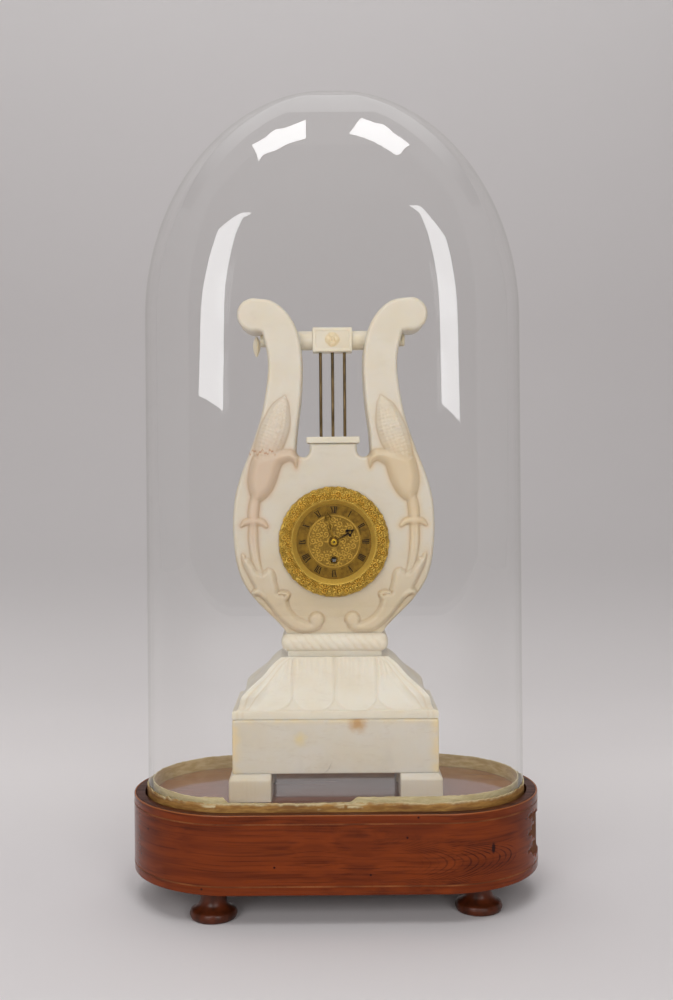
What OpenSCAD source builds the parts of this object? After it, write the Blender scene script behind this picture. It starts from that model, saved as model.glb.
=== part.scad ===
// A lyre timepiece of carved alabaster on an oval wooden stand, under a glass dome.
// Millimetres. X runs to the right, Y to the back and Z up, from the floor under the stand's middle.

/* [Stand] */
// Width of the wooden stand over its round ends
stand_width = 272; // [256:1:300]
// Depth of the stand, which is also the diameter of its ends
stand_depth = 140; // [134:1:156]
// Height of the wooden body without its feet
stand_height = 50; // [42:1:60]
// Thickness of the veneer round the side
veneer_thickness = 1.4; // [1:0.1:2.4]
// Height of an inlaid stringing line
stringing_height = 1.2; // [0.8:0.1:2]
// Distance of the stringing lines from the top edge and from the bottom edge
stringing_inset = 5; // [3:0.5:10]
// Height of a bun foot
bun_height = 21; // [16:1:28]
// Largest diameter of a bun foot
bun_diameter = 30.5; // [24:0.5:34]
// Distance of a foot's middle from the stand's round end
bun_inset_x = 52; // [48:1:66]
// Distance of a foot's middle from the stand's long side
bun_inset_y = 21; // [19:1:30]

/* [Dome] */
// Thickness of the glass
glass_thickness = 3; // [2:0.25:4]
// Height of the upright part of the glass
dome_wall_height = 324; // [318:1:360]
// Height of the arched top of the glass
dome_arch_height = 153.7; // [130:0.1:180]
// Width of the flat rim outside the dome's groove
rim_width = 7.4; // [5:0.1:9]
// Depth of the dome's groove
groove_depth = 8; // [6:0.5:12]
// Free space on each side of the dome's foot in its groove
groove_clearance = 1.3; // [0.8:0.1:2]
// Thickness of the paper band that is folded round the dome's foot
band_thickness = 0.8; // [0.4:0.1:1.2]
// Height of the band's outer face above the rim
band_outside = 7; // [4:0.5:12]
// Height of the band's inner face above the rim
band_inside = 9.7; // [5:0.1:14]

/* [Plinth] */
// Width of the plinth block
plinth_width = 134.5; // [128:0.5:146]
// Depth of the plinth block
plinth_depth = 72; // [68:0.5:80]
// Height of the plinth block
plinth_height = 35.6; // [28:0.1:44]
// Height of a plinth foot
plinth_foot_height = 17.9; // [12:0.1:24]
// Width and depth of a plinth foot
plinth_foot_size = 27.7; // [22:0.1:32]
// How far a plinth foot stands out past the block
plinth_foot_projection = 2.3; // [1:0.1:4]
// Height of the leaf moulding between the plinth and the lyre
moulding_height = 38; // [32:0.5:44]
// Height of the plain neck over the leaf moulding
neck_height = 3.6; // [2.5:0.1:6]
// Height of the rope moulding under the lyre
rope_height = 11.6; // [9:0.1:14]
// How far the rope moulding swells out past the neck
rope_swell = 4.5; // [3:0.1:6]

/* [Lyre] */
// Width of the lyre at its widest
lyre_width = 134.4; // [128:0.2:142]
// Height of the lyre to the top of its scrolls
lyre_height = 223.4; // [216:0.2:232]
// Thickness of the lyre
lyre_thickness = 36; // [35:0.5:40]
// Diameter of the yoke between the arms
yoke_diameter = 13; // [11:0.5:14]
// Width of the block in the middle of the yoke
yoke_block_width = 26.6; // [22:0.2:32]
// Height of the block in the middle of the yoke
yoke_block_height = 16.3; // [15.5:0.1:20]
// Diameter of a string
string_diameter = 2.1; // [1.4:0.1:3]
// Distance between neighbouring strings
string_spacing = 8.1; // [6:0.1:9]
// Height of the lip that the strings stand on
lip_height = 4.2; // [3:0.1:6]

/* [Dial] */
// Diameter of the gilt bezel
bezel_diameter = 73.8; // [70:0.2:76]
// Height of the bezel in front of the lyre
bezel_height = 8; // [7:0.1:10]
// Diameter of the dial that shows inside the bezel
dial_diameter = 49.8; // [49:0.2:51]
// Diameter of the engraved centre of the dial
dial_centre_diameter = 36; // [32:0.5:38]
// Length of the minute hand
minute_hand_length = 21; // [18:0.1:22.5]
// Length of the hour hand
hour_hand_length = 16; // [12:0.1:17]
// Minutes shown by the hands past one o'clock
minutes_shown = 57.8; // [0:0.1:60]

/* [Movement] */
// Module of the going train's teeth
train_module = 0.3; // [0.29:0.005:0.305]
// Radial clearance of a shaft that turns in a hole
running_clearance = 0.05; // [0.02:0.01:0.08]
// Length of the pendulum from its stud to the middle of its bob
pendulum_length = 76.7; // [70:0.1:78]
// Diameter of the pendulum's bob
bob_diameter = 18; // [14:0.5:20]

/* [Hidden] */
$fn = 48;
ROUND_END_STEPS = 20;

// The stand: levels from the floor, and the radii of its round ends from outside to inside.
half_straight = (stand_width - stand_depth) / 2;
stand_top = bun_height + stand_height;
end_radius = stand_depth / 2;
groove_outer = end_radius - rim_width;
glass_outer = groove_outer - groove_clearance - band_thickness;
glass_inner = glass_outer - glass_thickness;
groove_inner = glass_inner - band_thickness - groove_clearance;
groove_floor = stand_top - groove_depth;
glass_foot = groove_floor + band_thickness;
floor_level = stand_top - 0.5;
tenon_radius = 0.17 * bun_diameter;
tenon_length = 12;
tenon_clearance = 0.05;

// The clock: levels from the floor.
plinth_bottom = floor_level + plinth_foot_height;
moulding_bottom = plinth_bottom + plinth_height;
neck_bottom = moulding_bottom + moulding_height;
rope_bottom = neck_bottom + neck_height;
lyre_bottom = rope_bottom + rope_height;
front_face = -lyre_thickness / 2;
back_face = lyre_thickness / 2;

// The lyre's half outline is drawn 134.4 wide and 223.4 high, and stretched to its size. The yoke goes
// through the arms a fixed way under the middles of their scrolls.
scroll_at = [52.5, 212.3];
stretch_x = lyre_width / 134.4;
stretch_z = lyre_height / 223.4;
function stretched(points) = [for (p = points) [p[0] * stretch_x, p[1] * stretch_z]];
lyre_foot_half = 31.1 * stretch_x;
neck_width = 2 * lyre_foot_half;
tongue_half = 15.7 * stretch_x;
tongue_top = lyre_bottom + 126.4 * stretch_z;
lip_top = tongue_top + lip_height;
yoke_level = lyre_bottom + (scroll_at[1] - 16.1) * stretch_z;
yoke_block_bottom = yoke_level - yoke_block_height / 2;
yoke_block_depth = yoke_diameter + 5;
yoke_half = 40 * stretch_x;
yoke_pin_radius = 2.4;
yoke_end = 49 * stretch_x;
seat_depth = 2;

// The dial and movement: depths from the lyre's front face, and middles from the dial's middle.
dial_level = lyre_bottom + 60.9 * stretch_z;
bore_radius = 24.5;
bezel_radius = bezel_diameter / 2;
dial_radius = dial_diameter / 2;
dial_plate_radius = dial_radius + 1.4;
dial_plate_front = front_face - 1;
chapter_front = dial_plate_front - 0.6;
plate_radius = 22.5;
front_plate_y = front_face + 5;
plate_thickness = 1.5;
front_plate_back = front_plate_y + plate_thickness;
back_plate_y = front_plate_back + 22;
back_plate_back = back_plate_y + plate_thickness;
pendulum_y = back_face + 10;
hour_hand_y = front_face - 3.8;
minute_hand_y = front_face - 5.2;
hand_thickness = 0.6;
minute_angle = 6 * minutes_shown;
hour_angle = 30 + minutes_shown / 2;

// Tooth counts of the going train and of the motion work under the dial.
BARREL_TEETH = 72;
CENTRE_LEAVES = 10;
WHEEL_TEETH = 48;
PINION_LEAVES = 8;
ESCAPE_TEETH = 30;
CANNON_LEAVES = 12;
MINUTE_TEETH = 36;
MINUTE_LEAVES = 10;
HOUR_TEETH = 40;
RATCHET_TEETH = 20;

// Where the arbors stand, as [x, z] from the dial's middle.
pair_distance = (WHEEL_TEETH + PINION_LEAVES) * train_module / 2;
motion_distance = 7.5;
cannon_module = 2 * motion_distance / (CANNON_LEAVES + MINUTE_TEETH);
hour_module = 2 * motion_distance / (MINUTE_LEAVES + HOUR_TEETH);
centre_at = [0, 0];
barrel_at = [0, -(BARREL_TEETH + CENTRE_LEAVES) * train_module / 2];
third_at = pair_distance * [cos(-15), sin(-15)];
fourth_at = third_at + pair_distance * [cos(91.5), sin(91.5)];
escape_at = [0, fourth_at[1] + sqrt(pow(pair_distance, 2) - pow(fourth_at[0], 2))];
pallets_at = escape_at + [0, 8.4];
minute_at = [-motion_distance, 0];
click_at = barrel_at + [8.6, -4.7];
crutch_length = 20;
pillar_circle = 20;
PILLAR_ANGLES = [30, 150, 210, 330];
DIAL_FOOT_ANGLES = [0, 120, 240];
dial_foot_circle = 19;

// Radii of shafts and of the pivots that run in the plates.
arbor_radius = 0.6;
pivot_radius = 0.45;
centre_radius = 0.9;
cannon_radius = 1.38;
hour_pipe_radius = 2.2;
winding_radius = 1.5;
stud_radius = 0.8;
crutch_pin_radius = 0.5;
pillar_radius = 1.8;
rivet_radius = 1.1;
escape_radius = 6;
ratchet_radius = 5.5;

// Point t of the way from b to c on a smooth curve through a, b, c and d.
function curve_point(a, b, c, d, t) =
    0.5 * (2 * b + (c - a) * t + (2 * a - 5 * b + 4 * c - d) * t * t + (3 * b - a - 3 * c + d) * t * t * t);

// A smooth curve through the points p, with the given number of steps between neighbours.
function curve(p, steps) = [
    for (i = [0 : len(p) - 2], k = [0 : steps - 1])
        curve_point(p[max(i - 1, 0)], p[i], p[i + 1], p[min(i + 2, len(p) - 1)], k / steps),
    p[len(p) - 1]
];

// Points of an arc round a middle point, from one angle to another.
function arc(middle, radius, from, to, steps) = [
    for (i = [0 : steps])
        let (a = from + (to - from) * i / steps)
        middle + radius * [cos(a), sin(a)]
];

// Corners of a wheel with straight-sided teeth; all widths and heights are in modules.
function toothed(teeth, size, addendum, dedendum, root_width, tip_width, phase) = [
    for (i = [0 : teeth - 1], corner = [0 : 3])
        let (at_root = corner == 0 || corner == 3)
        let (r = size * (teeth / 2 + (at_root ? -dedendum : addendum)))
        let (half = asin(size * (at_root ? root_width : tip_width) / 2 / r))
        let (a = phase + 360 * i / teeth + (corner < 2 ? -half : half))
        r * [cos(a), sin(a)]
];

// A wheel has a gap, and a pinion a leaf, on the line that joins their middles.
function direction(from, to) = atan2(to[1] - from[1], to[0] - from[0]);
function wheel_outline(teeth, size, from, to) =
    toothed(teeth, size, 0.95, 1.3, 1.55, 0.5, direction(from, to) + 180 / teeth);
function pinion_outline(leaves, size, from, to) =
    toothed(leaves, size, 0.65, 1.3, 0.7, 0.6, direction(from, to));

// Flat shape in the plane of the dial, drawn from the dial's middle and filling y0 to y1.
module dial_slab(y0, y1, at = [0, 0]) {
    translate([at[0], y1, dial_level + at[1]])
        rotate([90, 0, 0])
            linear_extrude(height = y1 - y0)
                children();
}

// Round rod across the dial's plane from y0 to y1.
module dial_rod(y0, y1, radius, at = [0, 0]) {
    translate([at[0], y1, dial_level + at[1]])
        rotate([90, 0, 0])
            cylinder(r = radius, h = y1 - y0);
}

// Outline of the stand or of one of its bands, for an end radius.
module oval(radius) {
    square([2 * half_straight, 2 * radius], center = true);
    for (side = [-1, 1])
        translate([side * half_straight, 0])
            circle(radius);
}

// Upright band that follows the stand's outline.
module oval_band(outer, inner, bottom, top) {
    translate([0, 0, bottom])
        linear_extrude(height = top - bottom)
            difference() {
                oval(outer);
                oval(inner);
            }
}

// The glass follows the same outline with straight pieces round its ends.
function glass_outline(straight, radius) = [
    for (end = [0, 1], i = [0 : ROUND_END_STEPS])
        let (a = -90 + 180 * end + 180 * i / ROUND_END_STEPS)
        [(1 - 2 * end) * straight + radius * cos(a), radius * sin(a)]
];

module glass_band(outer, inner, bottom, top) {
    translate([0, 0, bottom])
        linear_extrude(height = top - bottom)
            difference() {
                polygon(glass_outline(half_straight, outer));
                polygon(glass_outline(half_straight, inner));
            }
}

// Solid wooden body with the dome's groove, a clock floor and holes for the feet's tenons.
module base_carcass() {
    color("saddlebrown")
        difference() {
            translate([0, 0, bun_height])
                linear_extrude(height = stand_height)
                    oval(end_radius - veneer_thickness);
            oval_band(groove_outer, groove_inner, groove_floor, stand_top + 1);
            translate([0, 0, floor_level])
                linear_extrude(height = 1)
                    oval(groove_inner + 0.1);
            for (i = [1 : 4])
                translate(bun_place(i))
                    cylinder(r = tenon_radius + tenon_clearance, h = bun_height + tenon_length + 0.5);
        }
}

// Veneer round the side, cut through by the two stringing lines.
module side_veneer() {
    color("sienna")
        difference() {
            oval_band(end_radius, end_radius - veneer_thickness, bun_height, stand_top);
            stringing(stand_top - stringing_inset - stringing_height);
            stringing(bun_height + stringing_inset);
        }
}

// One inlaid line, half as deep as the veneer.
module stringing(bottom) {
    oval_band(end_radius, end_radius - veneer_thickness / 2, bottom, bottom + stringing_height);
}

module string_upper() {
    color("peru")
        stringing(stand_top - stringing_inset - stringing_height);
}

module string_lower() {
    color("peru")
        stringing(bun_height + stringing_inset);
}

// How far each foot was fixed from its even place.
BUN_OFFSETS = [[5, 2, 0], [8, 12, 0], [5, -2, 0], [8, -2, 0]];
function bun_place(i) = BUN_OFFSETS[i - 1] + [
    (i == 1 || i == 3 ? -1 : 1) * (stand_width / 2 - bun_inset_x),
    (i < 3 ? -1 : 1) * (stand_depth / 2 - bun_inset_y),
    0
];

// Turned foot: a flat bun under a neck that flares into it, with a tenon in the stand.
module bun_foot(i) {
    r = bun_diameter / 2;
    h = bun_height;
    side = curve([
        [0.88 * r, 0], [r, 0.14 * h], [0.95 * r, 0.28 * h], [0.7 * r, 0.38 * h],
        [0.57 * r, 0.52 * h], [0.53 * r, 0.74 * h], [0.56 * r, h]
    ], 3);
    color("sienna")
        translate(bun_place(i))
            rotate_extrude()
                polygon(concat([[0, 0]], side, [
                    [tenon_radius, h], [tenon_radius, h + tenon_length], [0, h + tenon_length]
                ]));
}

// Rings of the dome's surface from its foot to its crown, as [straight half length, end radius, level].
ARCH_STEPS = 11;
function dome_rings(radius, rise, foot) = concat(
    [[half_straight, radius, foot]],
    [
        for (k = [0 : ARCH_STEPS - 1])
            let (a = 90 * k / ARCH_STEPS)
            let (depth = radius * sqrt(1 - pow(sin(a), 3.2)))
            let (level = glass_foot + dome_wall_height + rise * sin(a))
            [(half_straight + radius) * cos(a) - depth, depth, level]
    ]
);
function ring_points(rings) = [
    for (ring = rings, p = glass_outline(ring[0], ring[1]))
        [p[0], p[1], ring[2]]
];

// Faces between stacked rings of n points that start at the given point number.
function stack_faces(start, n, rows, flip) = [
    for (j = [0 : rows - 2], i = [0 : n - 1], half = [0, 1])
        let (a = start + j * n + i)
        let (b = start + j * n + (i + 1) % n)
        half == 0
            ? (flip ? [a, b, b + n] : [a, b + n, b])
            : (flip ? [a, b + n, a + n] : [a, a + n, b + n])
];
function fan_faces(start, n, tip, flip) = [
    for (i = [0 : n - 1])
        let (a = start + i)
        let (b = start + (i + 1) % n)
        flip ? [a, b, tip] : [b, a, tip]
];

// Oval dome of even thickness, open at the foot.
module glass_dome() {
    n = 2 * (ROUND_END_STEPS + 1);
    rows = ARCH_STEPS + 1;
    crown = glass_foot + dome_wall_height + dome_arch_height;
    outside = ring_points(dome_rings(glass_outer, dome_arch_height, glass_foot));
    inside = ring_points(dome_rings(glass_inner, dome_arch_height - glass_thickness, glass_foot));
    size = n * rows;
    foot = [
        for (i = [0 : n - 1], half = [0, 1])
            let (b = (i + 1) % n)
            half == 0 ? [i, b, size + 1 + b] : [i, size + 1 + b, size + 1 + i]
    ];
    color("lightcyan", 0.3)
        polyhedron(
            points = concat(
                outside, [[0, 0, crown]],
                inside, [[0, 0, crown - glass_thickness]]
            ),
            faces = concat(
                stack_faces(0, n, rows, false),
                fan_faces(n * (rows - 1), n, size, false),
                stack_faces(size + 1, n, rows, true),
                fan_faces(size + 1 + n * (rows - 1), n, 2 * size + 1, true),
                foot
            )
        );
}

// Paper band folded under the dome's foot and up both of its faces.
module edging_band() {
    color("darkkhaki") {
        glass_band(glass_outer + band_thickness, glass_outer, groove_floor, stand_top + band_outside);
        glass_band(glass_inner, glass_inner - band_thickness, groove_floor, stand_top + band_inside);
        glass_band(glass_outer, glass_inner, groove_floor, glass_foot);
    }
}

// Square foot of the plinth with a sloped shoulder up to the block's face.
module plinth_foot(i) {
    side = i == 1 || i == 3 ? -1 : 1;
    end = i < 3 ? -1 : 1;
    p = plinth_foot_projection;
    h = plinth_foot_height;
    outline = [
        [-p, 0], [-p, h - 1.6 * p], [-0.6 * p, h - 0.9 * p], [0, h],
        [plinth_foot_size - p, h], [plinth_foot_size - p, 0]
    ];
    color("antiquewhite")
        translate([side * plinth_width / 2, end * plinth_depth / 2, floor_level])
            intersection() {
                mirror([side > 0 ? 1 : 0, 0, 0])
                    translate([0, plinth_foot_size, 0])
                        rotate([90, 0, 0])
                            linear_extrude(height = 2 * plinth_foot_size)
                                polygon(outline);
                mirror([0, end > 0 ? 1 : 0, 0])
                    rotate([90, 0, 90])
                        translate([0, 0, -plinth_foot_size])
                            linear_extrude(height = 2 * plinth_foot_size)
                                polygon(outline);
            }
}

// Plain block with a thin bevel along its top edge.
module plinth_block() {
    bevel = 1;
    body = plinth_height - bevel;
    color("antiquewhite")
        translate([0, 0, plinth_bottom])
            intersection() {
                translate([0, plinth_depth / 2, 0])
                    rotate([90, 0, 0])
                        linear_extrude(height = plinth_depth)
                            polygon(block_outline(plinth_width / 2, body, bevel));
                translate([-plinth_width / 2, 0, 0])
                    rotate([90, 0, 90])
                        linear_extrude(height = plinth_width)
                            polygon(block_outline(plinth_depth / 2, body, bevel));
            }
}
function block_outline(half, body, bevel) = [
    [-half, 0], [half, 0], [half, body], [half - 0.6 * bevel, body + bevel],
    [-half + 0.6 * bevel, body + bevel], [-half, body]
];

// Leaf moulding: how far it has drawn in from the bottom (0) to the top (1).
LEAF_PROFILE = curve([[0, 0.02], [0.25, 0.08], [0.5, 0.25], [0.72, 0.64], [1, 1]], 4);
LEAF_STEPS = 8;
LEAVES_FRONT = 4;
LEAVES_SIDE = 2;
leaf_depth = 1.8;

// A leaf swells between its two edges (s from -1 to 1), hangs with a round tip, and fades at the top.
function leaf_swell(s, v) =
    leaf_depth * (1 - pow(abs(s), 2.4)) * (1 - pow(v, 3))
    * min(1, max(0, (v - 0.04 - 0.12 * s * s) / 0.1)) * (1 - 0.3 * max(0, 1 - abs(s) * 5));

// Place along one side of the moulding, u from -1 to 1, with that side's leaves.
function leaf_phase(u, leaves) = let (f = (u + 1) / 2 * leaves) 2 * (f - floor(min(f, leaves - 0.001))) - 1;
function moulding_row(v, draw) =
    let (x = plinth_width / 2 - draw * (plinth_width / 2 - 41.9 * stretch_x))
    let (y = plinth_depth / 2 - draw * (plinth_depth / 2 - lyre_thickness / 2 - 4))
    let (nf = LEAVES_FRONT * LEAF_STEPS)
    let (ns = LEAVES_SIDE * LEAF_STEPS)
    concat(
        [for (i = [0 : nf - 1]) let (u = 2 * i / nf - 1)
            [u * x, -y - leaf_swell(leaf_phase(u, LEAVES_FRONT), v)]],
        [for (i = [0 : ns - 1]) let (u = 2 * i / ns - 1)
            [x + leaf_swell(leaf_phase(u, LEAVES_SIDE), v), u * y]],
        [for (i = [0 : nf - 1]) let (u = 2 * i / nf - 1)
            [-u * x, y + leaf_swell(leaf_phase(u, LEAVES_FRONT), v)]],
        [for (i = [0 : ns - 1]) let (u = 2 * i / ns - 1)
            [-x - leaf_swell(leaf_phase(u, LEAVES_SIDE), v), -u * y]]
    );

// Reversed ogee carved with hanging leaves on all four sides.
module leaf_moulding() {
    rows = len(LEAF_PROFILE);
    n = 2 * (LEAVES_FRONT + LEAVES_SIDE) * LEAF_STEPS;
    color("antiquewhite")
        translate([0, 0, moulding_bottom])
            polyhedron(
                points = concat(
                    [
                        for (j = [0 : rows - 1], p = moulding_row(LEAF_PROFILE[j][0], LEAF_PROFILE[j][1]))
                            [p[0], p[1], LEAF_PROFILE[j][0] * moulding_height]
                    ],
                    [[0, 0, 0], [0, 0, moulding_height]]
                ),
                faces = concat(
                    stack_faces(0, n, rows, false),
                    fan_faces(0, n, n * rows, true),
                    fan_faces(n * (rows - 1), n, n * rows + 1, false)
                )
            );
}

// Rope moulding: its strands run slantwise round a swelling edge.
ROPE_STRANDS = 36;
ROPE_STEPS = 4;
ROPE_ROWS = 6;
rope_groove = 0.9;

// Point and outward direction at the share f of the way round the neck with its rounded corners.
function rope_place(f) =
    let (w = neck_width / 2)
    let (d = lyre_thickness / 2)
    let (corner = rope_swell * 90 * PI / 180)
    let (quarter = 2 * w + 2 * d + 2 * corner)
    let (s = (f * 2 - floor(f * 2)) * quarter)
    let (sign = f * 2 - floor(f * 2) == f * 2 ? 1 : -1)
    let (place =
        s < 2 * w ? [[s - w, -d], [0, -1]]
        : s < 2 * w + corner ? let (a = (s - 2 * w) / corner * 90 - 90) [[w, -d], [cos(a), sin(a)]]
        : s < 2 * w + corner + 2 * d ? [[w, s - 2 * w - corner - d], [1, 0]]
        : let (a = (s - 2 * w - corner - 2 * d) / corner * 90) [[w, d], [cos(a), sin(a)]])
    sign * place;
function rope_row(v) = [
    for (i = [0 : ROPE_STRANDS * ROPE_STEPS - 1])
        let (f = i / (ROPE_STRANDS * ROPE_STEPS))
        let (place = rope_place(f))
        let (swell = rope_swell * sqrt(max(0, 1 - pow(2 * v - 1, 2))))
        let (strand = abs(cos(180 * (f * ROPE_STRANDS + v * 1.4))))
        place[0] + place[1] * (0.05 + max(0, swell - rope_groove * (1 - strand)))
];

// Rope moulding with the plain neck under it.
module rope_moulding() {
    n = ROPE_STRANDS * ROPE_STEPS;
    levels = [for (j = [0 : ROPE_ROWS]) (1 - cos(180 * j / ROPE_ROWS)) / 2];
    color("antiquewhite") {
        translate([0, 0, rope_bottom])
            polyhedron(
                points = concat(
                    [for (v = levels, p = rope_row(v)) [p[0], p[1], v * rope_height]],
                    [[0, 0, 0], [0, 0, rope_height]]
                ),
                faces = concat(
                    stack_faces(0, n, ROPE_ROWS + 1, false),
                    fan_faces(0, n, n * (ROPE_ROWS + 1), true),
                    fan_faces(n * ROPE_ROWS, n, n * (ROPE_ROWS + 1) + 1, false)
                )
            );
        translate([-neck_width / 2, -lyre_thickness / 2, neck_bottom])
            cube([neck_width, lyre_thickness, neck_height]);
    }
}

// Right half of the lyre's outline, from the middle of its foot up the outside and down the inside.
LYRE_OUTSIDE = curve([
    [31.1, 0], [39.1, 8.7], [52.3, 22], [60.9, 34.6], [65.3, 48.6], [67.2, 68.6], [66.2, 87.8],
    [62, 104.5], [54.2, 125.1], [47.3, 147.1], [43.6, 169.7], [43.4, 185], [47.3, 202.5]
], 4);
LYRE_SCROLL = arc(scroll_at, 11.1, -100, 100, 18);
LYRE_INSIDE = curve([
    [48.2, 223], [40.7, 221.6], [33.9, 216.3], [28.8, 210.3], [23.7, 202.3], [21.2, 190],
    [20.3, 174.4], [21.5, 155.1], [24.5, 134.6], [25.1, 121.8]
], 4);
LYRE_NOTCH = arc([20.4, 121.8], 4.7, 0, -180, 10);
half_outline = stretched(concat(LYRE_OUTSIDE, LYRE_SCROLL, LYRE_INSIDE, LYRE_NOTCH, [[15.7, 126.4]]));

module lyre_slab() {
    n = len(half_outline);
    translate([0, back_face, lyre_bottom])
        rotate([90, 0, 0])
            linear_extrude(height = lyre_thickness)
                polygon(concat(
                    half_outline,
                    [for (i = [n - 1 : -1 : 0]) [-half_outline[i][0], half_outline[i][1]]]
                ));
}

// Raised carving along a curve of [x, z, half width, height], sunk a little into the lyre's face.
RIDGE_STEPS = 6;
ridge_sink = 1;
module ridge(stations) {
    count = len(stations);
    n = RIDGE_STEPS + 3;
    color("antiquewhite")
        polyhedron(
            points = [
                for (i = [0 : count - 1])
                    let (s = stations[i])
                    let (ahead = stations[min(i + 1, count - 1)])
                    let (behind = stations[max(i - 1, 0)])
                    let (step = [ahead[0] - behind[0], ahead[1] - behind[1]])
                    let (run = step / norm(step))
                    for (p = ridge_section(s))
                        [
                            (s[0] - run[1] * p[0]) * stretch_x,
                            front_face - p[1],
                            lyre_bottom + (s[1] + run[0] * p[0]) * stretch_z
                        ]
            ],
            faces = concat(
                stack_faces(0, n, count, false),
                [[for (i = [0 : n - 1]) i]],
                [[for (i = [n - 1 : -1 : 0]) n * (count - 1) + i]]
            )
        );
}
function ridge_section(s) = concat(
    [
        for (k = [0 : RIDGE_STEPS])
            let (a = 12 + 156 * k / RIDGE_STEPS)
            [s[2] * cos(a), s[3] * sin(a)]
    ],
    [[-s[2], -ridge_sink], [s[2], -ridge_sink]]
);

// Carvings of the right half: corn cob, the cup it stands in, the cup's stem that ends in a blade, the cup's
// curled lip, and a leafy crook with a volute.
CARVED_COB = curve([
    [32, 157.4, 1, 0.6], [33.2, 153.4, 4.4, 2.4], [35.3, 148, 7, 3.8], [37.6, 139.5, 9.2, 4.7],
    [40.4, 131, 9.5, 5], [43.4, 121.5, 8.9, 4.4]
], 2);
CARVED_CUP = curve([
    [44.4, 121.5, 10, 4.8], [45.4, 114.5, 10.6, 5.2], [46.6, 108, 10.2, 4.9], [48.6, 101, 9.2, 4.5],
    [50.2, 95, 7.4, 3.9], [51.1, 90.5, 4.8, 3], [51.4, 87.4, 1.6, 1.4]
], 2);
CARVED_STEM = curve([
    [51.8, 92, 3.2, 2.4], [53.2, 82, 3.7, 2.6], [53.5, 73, 3.3, 2.5], [53.7, 62, 3.1, 2.4],
    [52.2, 50, 2.8, 2.2], [49.6, 42, 1.8, 1.6], [47.8, 36.4, 0.8, 0.9]
], 2);
CARVED_LIP = curve([[40, 119, 4, 3.2], [34, 118.2, 3.6, 3.2], [29, 116.4, 2.8, 2.8], [26, 111, 1.2, 1.4]], 2);
CARVED_CROOK = curve([
    [60, 46, 1.6, 1.2], [55, 38, 5.4, 3], [49.5, 30.5, 7.2, 3.8], [43, 23, 5.8, 3.7],
    [36, 15.4, 4.7, 3.5], [28, 8.2, 4.3, 3.3], [19.5, 4.4, 3.5, 3], [11.5, 3.8, 2.8, 2.7],
    [5.6, 6.6, 2.4, 2.4], [5.2, 12, 2, 2.2], [9, 14.4, 1.7, 2], [12.4, 11.6, 1.3, 1.8]
], 3);

// Block of alabaster sawn to a lyre and carved in relief, bored for the movement and for the yoke.
module lyre_body() {
    color("antiquewhite")
        difference() {
            union() {
                lyre_slab();
                for (half = [0, 1])
                    mirror([half, 0, 0]) {
                        ridge(CARVED_COB);
                        ridge(CARVED_CUP);
                        ridge(CARVED_STEM);
                        ridge(CARVED_LIP);
                        ridge(CARVED_CROOK);
                        translate([53.2 * stretch_x - 9.3, front_face - 3, lyre_bottom + 71.5 * stretch_z])
                            cube([18.6, 4, 5]);
                        translate([9.2 * stretch_x, front_face + 1, lyre_bottom + 9.4 * stretch_z])
                            rotate([90, 0, 0])
                                cylinder(r = 2, h = 4);
                    }
            }
            dial_rod(front_face - 1, back_face + 1, bore_radius);
            yoke_rod(yoke_half, yoke_diameter / 2);
            yoke_rod(yoke_end, yoke_pin_radius);
        }
}

// Round rod along the yoke's axis, reaching the same way to both sides.
module yoke_rod(half, radius) {
    translate([-half, 0, yoke_level])
        rotate([0, 90, 0])
            cylinder(r = radius, h = 2 * half);
}

// Lip on the lyre's tongue, drilled for the strings.
module string_lip() {
    half = tongue_half + 2;
    depth = lyre_thickness + 2;
    color("antiquewhite")
        difference() {
            translate([-half, -depth / 2, tongue_top])
                cube([2 * half, depth, lip_height]);
            for (i = [-1 : 1])
                string_rod(i);
        }
}

// Thin brass rod between the lip and the yoke's block, seated a little way into both.
module string_rod(i) {
    translate([i * string_spacing, 0, lip_top - seat_depth])
        cylinder(r = string_diameter / 2, h = yoke_block_bottom - lip_top + 2 * seat_depth);
}

// Round yoke between the arms, with a thinner pin at each end that carries the outer ornaments.
module yoke_bar() {
    color("antiquewhite")
        difference() {
            union() {
                yoke_rod(yoke_half, yoke_diameter / 2);
                yoke_rod(yoke_end, yoke_pin_radius);
            }
            for (i = [-1 : 1])
                string_rod(i);
        }
}

// Block on the yoke with a raised border and a round rosette in front.
module yoke_block() {
    w = yoke_block_width;
    h = yoke_block_height;
    d = yoke_block_depth;
    border = 1.8;
    color("antiquewhite")
        difference() {
            union() {
                translate([-w / 2, -d / 2, yoke_level - h / 2])
                    cube([w, d, h]);
                translate([0, 1 - d / 2, yoke_level])
                    rotate([90, 0, 0])
                        cylinder(r = 4.7, h = 1.6);
            }
            difference() {
                translate([border - w / 2, -d / 2 - 1, yoke_level - h / 2 + border])
                    cube([w - 2 * border, 2, h - 2 * border]);
                translate([0, 2 - d / 2, yoke_level])
                    rotate([90, 0, 0])
                        cylinder(r = 4.7, h = 4);
            }
            yoke_rod(w, yoke_diameter / 2);
            for (i = [-1 : 1])
                string_rod(i);
        }
}

// Ring that is slipped over the yoke's end pin against the lyre's edge.
module pin_ring(side) {
    difference() {
        translate([side * (43 * stretch_x + yoke_end) / 2, 0, yoke_level])
            rotate([0, 90, 0])
                cylinder(r = 4.2, h = yoke_end - 43 * stretch_x, center = true);
        yoke_rod(yoke_end + 1, yoke_pin_radius);
        lyre_slab();
    }
}

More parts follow.
